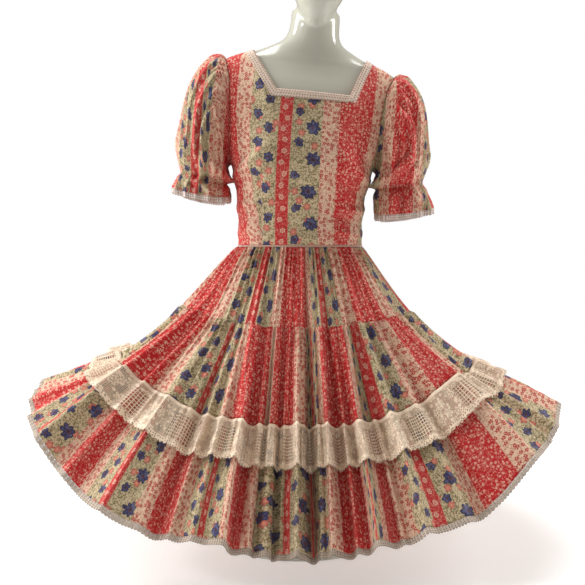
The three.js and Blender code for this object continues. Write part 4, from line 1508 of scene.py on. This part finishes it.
def tier(name, columns, rows, high, low, stripes, span):
    def place(degrees, down):
        return skirt_point(degrees, down, SKIRT_MIDDLE)

    def fabric(degrees, down):
        from_waist = look_up(lengths_down, (degrees + 180) / 360, down * 100 / SKIRT_STEPS)
        return between(stripes, degrees) * REPEAT, ROWS_FROM - from_waist

    cloth = [print_right, print_wrong]
    piece = ring_cloth(name, columns, rows, high, low, place, fabric, CLOTH, cloth, span)
    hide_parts(name.replace("_cloth", ""))
    print(name, "area", round(sheet_area(piece), 3), "faces", len(piece.data.polygons))
    return piece


tier_1 = tier("skirt_tier_1_cloth", 840, 30, 0.0019, SEAM_1 - 0.0001, STRIPES_1, (-178.6, 178.6))
tier_2 = tier("skirt_tier_2_cloth", 900, 34, SEAM_1 + 0.0001, SEAM_2 - 0.0001, STRIPES_2, (-180, 180))
tier_3 = tier("skirt_tier_3_cloth", 1140, 38, SEAM_2 + 0.0001, SKIRT_LENGTH, STRIPES_3, (-180, 180))

# %% [markdown]
# ## Lace of the skirt
#
# The wide lace is gathered by itself and sewn in with the last seam, so it stands a little off the
# tier under it and falls in its own waves. The narrow lace follows the hem.

# %% Wide lace and hem lace
lace_waves = Gathers(84, 31, 0.0125, 9.0)
lace_gathers = Gathers(170, 33, 0.0060, 0.060)


def flounce_point(degrees, down):
    below = (down - SEAM_2) / FLOUNCE
    turn = degrees / 360
    swing = 0.0022 + 0.0045 * math.sin(math.pi / 2 * min(below, 1))
    waves = lace_waves.ridge_sum(turn, 0) * started(below, 1.1)
    fine = lace_gathers.ridge_sum(turn, down - SEAM_2) * started(below, 0.12)
    return skirt_point(degrees, down, swing + waves + fine)


FLOUNCE_FLAT, HEM_FLAT = 3.70, 3.36  # lengths of lace, before gathering


def flounce_fabric(degrees, down):
    return (degrees / 360 * FLOUNCE_FLAT, down - SEAM_2)


flounce_ends = (SEAM_2 + 0.0004, SEAM_2 + FLOUNCE)
flounce = ring_cloth(
    "lace_flounce_cloth", 1140, 14, *flounce_ends, flounce_point, flounce_fabric, LACE, [flounce_lace]
)


def hem_point(degrees, down):
    return skirt_point(degrees, down, -0.0006)


def hem_fabric(degrees, down):
    return (degrees / 360 * HEM_FLAT, down - SKIRT_LENGTH)


hem_ends = (SKIRT_LENGTH + 0.0002, SKIRT_LENGTH + NARROW_TRIM)
hem = ring_cloth("hem_trim_lace", 1140, 3, *hem_ends, hem_point, hem_fabric, LACE, [hem_lace])
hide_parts("lace_flounce")
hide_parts("hem_trim")
print("flounce area", round(sheet_area(flounce), 3), "hem lace area", round(sheet_area(hem), 4))

# %% [markdown]
# ## Edging of the neck and cord of the waist
#
# A narrow lace is sewn flat round the square neck, with a mitre in each corner. A thin covered cord
# is sewn into the waist seam.

# %% Neck lace in three pieces
TRIM_LIFT = 0.0023  # from the bodice's inner face to the middle of the lace


def shoulder_up(neck, side, margin):
    """The height at which a line beside the neckline meets the shoulder seam."""
    low, high = neck["up"], BODICE_TOP
    for step in range(30):
        middle = (low + high) / 2
        across = neck_across(neck, side, middle, margin)
        if abs(across) < figure_at(middle / MM)[0] * MM + EASE:
            low = middle
        else:
            high = middle
    return low


def neck_strip(bm, behind, corners, across, down):
    """A strip of the neck lace between four corners, each a place across and up. They run from the
    lower left to the upper left as one looks at the strip from outside."""

    def spot(u, v):
        low = corners[0].lerp(corners[1], u)
        high = corners[3].lerp(corners[2], u)
        return low.lerp(high, v)

    def place(u, v):
        x, up = spot(u, v)
        angle = angle_across(x, up)
        if behind:
            angle = math.copysign(math.pi, x) - angle
        return bodice_point(angle, up, TRIM_LIFT)

    length = (corners[1] - corners[0]).length if across > down else (corners[3] - corners[0]).length

    def fabric(u, v):
        return (u * length, NECK_TRIM * (1 - v)) if across > down else (v * length, NECK_TRIM * u)

    sheet_grid(bm, across, down, place, fabric)


def side_corners(neck, side):
    """Corners of the strip beside one side of the neckline: inner low, outer low, outer high, inner
    high."""
    way = 1 if side == "left" else -1
    inner = way * 0.0003
    low_outer = neck["up"] - NECK_TRIM
    tops = shoulder_up(neck, side, 0.0), shoulder_up(neck, side, NECK_TRIM)
    return [
        Vector((neck[side] + inner, neck["up"])),
        Vector((neck_across(neck, side, low_outer, NECK_TRIM), low_outer)),
        Vector((neck_across(neck, side, tops[1], NECK_TRIM), tops[1])),
        Vector((neck_across(neck, side, tops[0]) + inner, tops[0])),
    ]


def neck_lace_piece(name, neck, behind, side=None):
    bm = bmesh.new()
    left, right = side_corners(neck, "left"), side_corners(neck, "right")
    zip_high = [Vector((way * ZIP_EDGE, neck["up"])) for way in (1, -1)]
    zip_low = [Vector((way * ZIP_EDGE, neck["up"] - NECK_TRIM)) for way in (1, -1)]
    if not behind:
        neck_strip(bm, behind, [right[1], left[1], left[0], right[0]], 64, 6)
    elif side == "left":
        neck_strip(bm, behind, [left[1], zip_low[0], zip_high[0], left[0]], 32, 6)
    else:
        neck_strip(bm, behind, [zip_low[1], right[1], right[0], zip_high[1]], 32, 6)
    if side != "right":
        inner, outer, outer_high, inner_high = left
        around = [outer, inner, inner_high, outer_high] if behind else left
        neck_strip(bm, behind, around, 6, 32)
    if side != "left":
        inner, outer, outer_high, inner_high = right
        around = right if behind else [outer, inner, inner_high, outer_high]
        neck_strip(bm, behind, around, 6, 32)
    piece = finished_cloth(name + "_lace", bm, LACE, [neck_lace])
    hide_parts(name)
    print(piece.name, "area", round(sheet_area(piece), 5))
    return piece


neck_front = neck_lace_piece("neck_trim_front", NECK_FRONT, False)
neck_left = neck_lace_piece("neck_trim_back_left", NECK_BACK, True, "left")
neck_right = neck_lace_piece("neck_trim_back_right", NECK_BACK, True, "right")

# %% Covered cord in the waist seam
CORD_RADIUS = 0.0015
CORD_END = 0.031  # radians from the middle of the back


def cord_place(u, v):
    angle = (math.pi - CORD_END) * (2 * u - 1)
    middle = figure(angle, 0, 0.00575)
    out = Vector((middle.x, middle.y, 0)).normalized()
    uneven = 1 + 0.05 * math.sin(angle * 41) + 0.04 * math.sin(angle * 97 + 1)
    turn = 2 * math.pi * v
    bead = out * math.cos(turn) + Vector((0, 0, math.sin(turn)))
    return middle + bead * CORD_RADIUS * uneven + Vector((0, 0, WAIST.z))


bm = bmesh.new()
sheet_grid(bm, 420, 12, cord_place, lambda u, v: (u * 0.66, v * 0.0094))
bmesh.ops.remove_doubles(bm, verts=bm.verts, dist=2e-5)
bmesh.ops.holes_fill(bm, edges=[edge for edge in bm.edges if edge.is_boundary])
for face in bm.faces:
    face.smooth = len(face.verts) == 4
piping = mesh_object("waist_piping_cord", bm)
piping.data.materials.append(cord_cloth)
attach(piping, "dress")
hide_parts("waist_piping")
print("cord faces", len(piping.data.polygons))

# %% [markdown]
# ## Zip
#
# The zip closes the middle of the back. Its tape follows the bodice and the top of the skirt, and
# its nylon teeth come from one side and the other in turn. The slider and its pull keep the
# frame's own shapes, because the pull turns on the slider's pin.

# %% Tape and teeth
ZIP_TOP = 0.345
ZIP_LOW = SEAM_1 - 0.0004
TOOTH_PITCH = 0.0014


def zip_point(below, lift):
    if below <= 0:
        return lean(over_figure(math.pi, -below, 0.0015 + lift))
    return skirt_point(180, below, lift)


def zip_place(u, v):
    below = ZIP_LOW + (-ZIP_TOP - ZIP_LOW) * v
    return zip_point(below, -0.0012) + Vector((0.0029 - 0.0058 * u, 0, 0))


bm = bmesh.new()
sheet_grid(bm, 4, 150, zip_place, lambda u, v: (u * 0.006, v * 0.5))
bmesh.ops.solidify(bm, geom=bm.faces[:], thickness=0.0005)
count = int((ZIP_TOP + ZIP_LOW) / TOOTH_PITCH)
for i in range(count):
    below = -ZIP_TOP + TOOTH_PITCH * (i + 0.5)
    here = zip_point(below, -0.0003)
    further = zip_point(below + 0.001, -0.0003)
    turn = (here - further).to_track_quat("Z", "Y").to_matrix().to_4x4()
    shift = 0.0007 if i % 2 else -0.0007
    place = Matrix.Translation(here + Vector((shift, 0, 0))) @ turn
    size = Matrix.Diagonal((0.0026, 0.0009, 0.0009, 1))
    bmesh.ops.create_cube(bm, size=1, matrix=place @ size)
zip_piece = mesh_object("zip_chain_teeth", bm)
zip_piece.data.materials.append(nylon)
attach(zip_piece, "dress")
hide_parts("zip_chain")
for name in ("zip_slider", "zip_pull"):
    node = bpy.data.objects[name]
    node.data.materials.clear()
    node.data.materials.append(metal)
print("teeth", count)

# %% [markdown]
# ## Dress form and stand
#
# The form is one moulded shell: a torso, a neck and a plain egg for a head. Torso and egg are made
# apart and fused with a voxel Remesh, which gives one even skin. A third, smaller egg fills the
# nape behind the neck. Smoothing the skin near the jaw and the nape turns hard lines into soft ones.

# %% One smooth shell
def plain_object(name, bm, material, slot, *nodes):
    for face in bm.faces:
        face.smooth = True
    obj = mesh_object(name, bm)
    obj.data.materials.append(material)
    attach(obj, "dress")
    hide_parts(*nodes)
    return obj


HEAD = dict(up=0.553, high=0.112, wide=0.074, deep=0.088, forward=0.024, chin=0.022)
HEAD_TAPER, HEAD_WIDEST = 0.36, 0.3
NAPE = dict(wide=0.042, deep=0.0488, high=0.052, up=0.474)
FORM_LOW, FORM_NECK = -0.232, 0.478
JAW = 0.458


def smoothed(bm, verts, times):
    axes = dict(use_axis_x=True, use_axis_y=True, use_axis_z=True)
    for step in range(times):
        bmesh.ops.smooth_vert(bm, verts=verts, factor=0.5, **axes)


bm = bmesh.new()


def torso_place(u, v):
    return lean(figure(math.pi * (2 * u - 1), FORM_LOW + (FORM_NECK - FORM_LOW) * v, 0))


sheet_grid(bm, 128, 190, torso_place, lambda u, v: (u, v))
bmesh.ops.remove_doubles(bm, verts=bm.verts, dist=2e-5)
bmesh.ops.holes_fill(bm, edges=[edge for edge in bm.edges if edge.is_boundary])
head = bmesh.ops.create_uvsphere(bm, u_segments=96, v_segments=64, radius=1)
for v in head["verts"]:
    z = v.co.z
    taper = (1 + HEAD_TAPER * z) / (1 + HEAD_TAPER * HEAD_WIDEST)
    forward = HEAD["forward"] + HEAD["chin"] * max(-z, 0)
    x = v.co.x * HEAD["wide"] * taper
    y = v.co.y * HEAD["deep"] * taper - forward
    v.co = lean(Vector((x, y, HEAD["up"] + z * HEAD["high"])))
nape = bmesh.ops.create_uvsphere(bm, u_segments=64, v_segments=32, radius=1)
for v in nape["verts"]:
    x, y, z = v.co
    v.co = lean(Vector((x * NAPE["wide"], y * NAPE["deep"], NAPE["up"] + z * NAPE["high"])))
rough = mesh_object("form_rough", bm)
remesh = rough.modifiers.new("skin", "REMESH")
remesh.mode = "VOXEL"
remesh.voxel_size = 0.004
skin = bpy.data.meshes.new_from_object(rough.evaluated_get(bpy.context.evaluated_depsgraph_get()))
bpy.data.objects.remove(rough)

bm = bmesh.new()
bm.from_mesh(skin)
smoothed(bm, bm.verts, 3)
jaw = lean(Vector((0, -0.02, JAW)))
smoothed(bm, [v for v in bm.verts if abs(v.co.z - jaw.z) < 0.012], 8)
near_nape = [v for v in bm.verts if v.co.y > 0 and abs(v.co.z - jaw.z - 0.032) < 0.042]
smoothed(bm, near_nape, 16)
form = plain_object("form_shell", bm, shell, "form_shell", "form_body")
print("shell faces", len(form.data.polygons))


# %% Socket, pole and base, each turned round its axis
def turned(name, profile, steps, material, slot, node, bevel):
    bm = bmesh.new()
    points = [bm.verts.new((r * MM, 0, z * MM)) for r, z in profile]
    edges = [bm.edges.new(pair) for pair in zip(points, points[1:])]
    around = dict(axis=(0, 0, 1), cent=(0, 0, 0), angle=2 * math.pi)
    bmesh.ops.spin(bm, geom=points + edges, steps=steps, use_merge=True, **around)
    bmesh.ops.remove_doubles(bm, verts=bm.verts, dist=1e-6)
    bmesh.ops.recalc_face_normals(bm, faces=bm.faces)
    piece = plain_object(name, bm, material, slot, node)
    rounded = piece.modifiers.new("rounded", "BEVEL")
    rounded.width = bevel
    rounded.segments = 3
    rounded.limit_method = "ANGLE"
    rounded.harden_normals = True


SOCKET = [
    (0, 345.6), (12.9, 345.6), (12.9, 311.6), (17.9, 311.6), (32, 347.6), (32, 357.6), (0, 357.6),
]
POLE = [(0, 6.4), (12.5, 6.4), (12.5, 345.2), (0, 345.2)]
BASE = [
    (0, 0), (175, 0), (175, 7), (172, 10), (24, 13), (21, 42), (12.9, 42), (12.9, 6), (0, 6),
]
turned("form_socket_turned", SOCKET, 72, shell, "form_shell", "form_socket", 0.0015)
turned("form_pole_tube", POLE, 64, tube, "stand_metal", "form_pole", 0.0005)
turned("form_base_plate", BASE, 160, paint, "stand_paint", "form_base", 0.0016)

# %% [markdown]
# ## What each cloth was cut to
#
# Each sheet's UV map is in metres of the flat cloth that it was cut from, before it was gathered and
# hung.

# %% The pieces are made
print("all pieces are made")
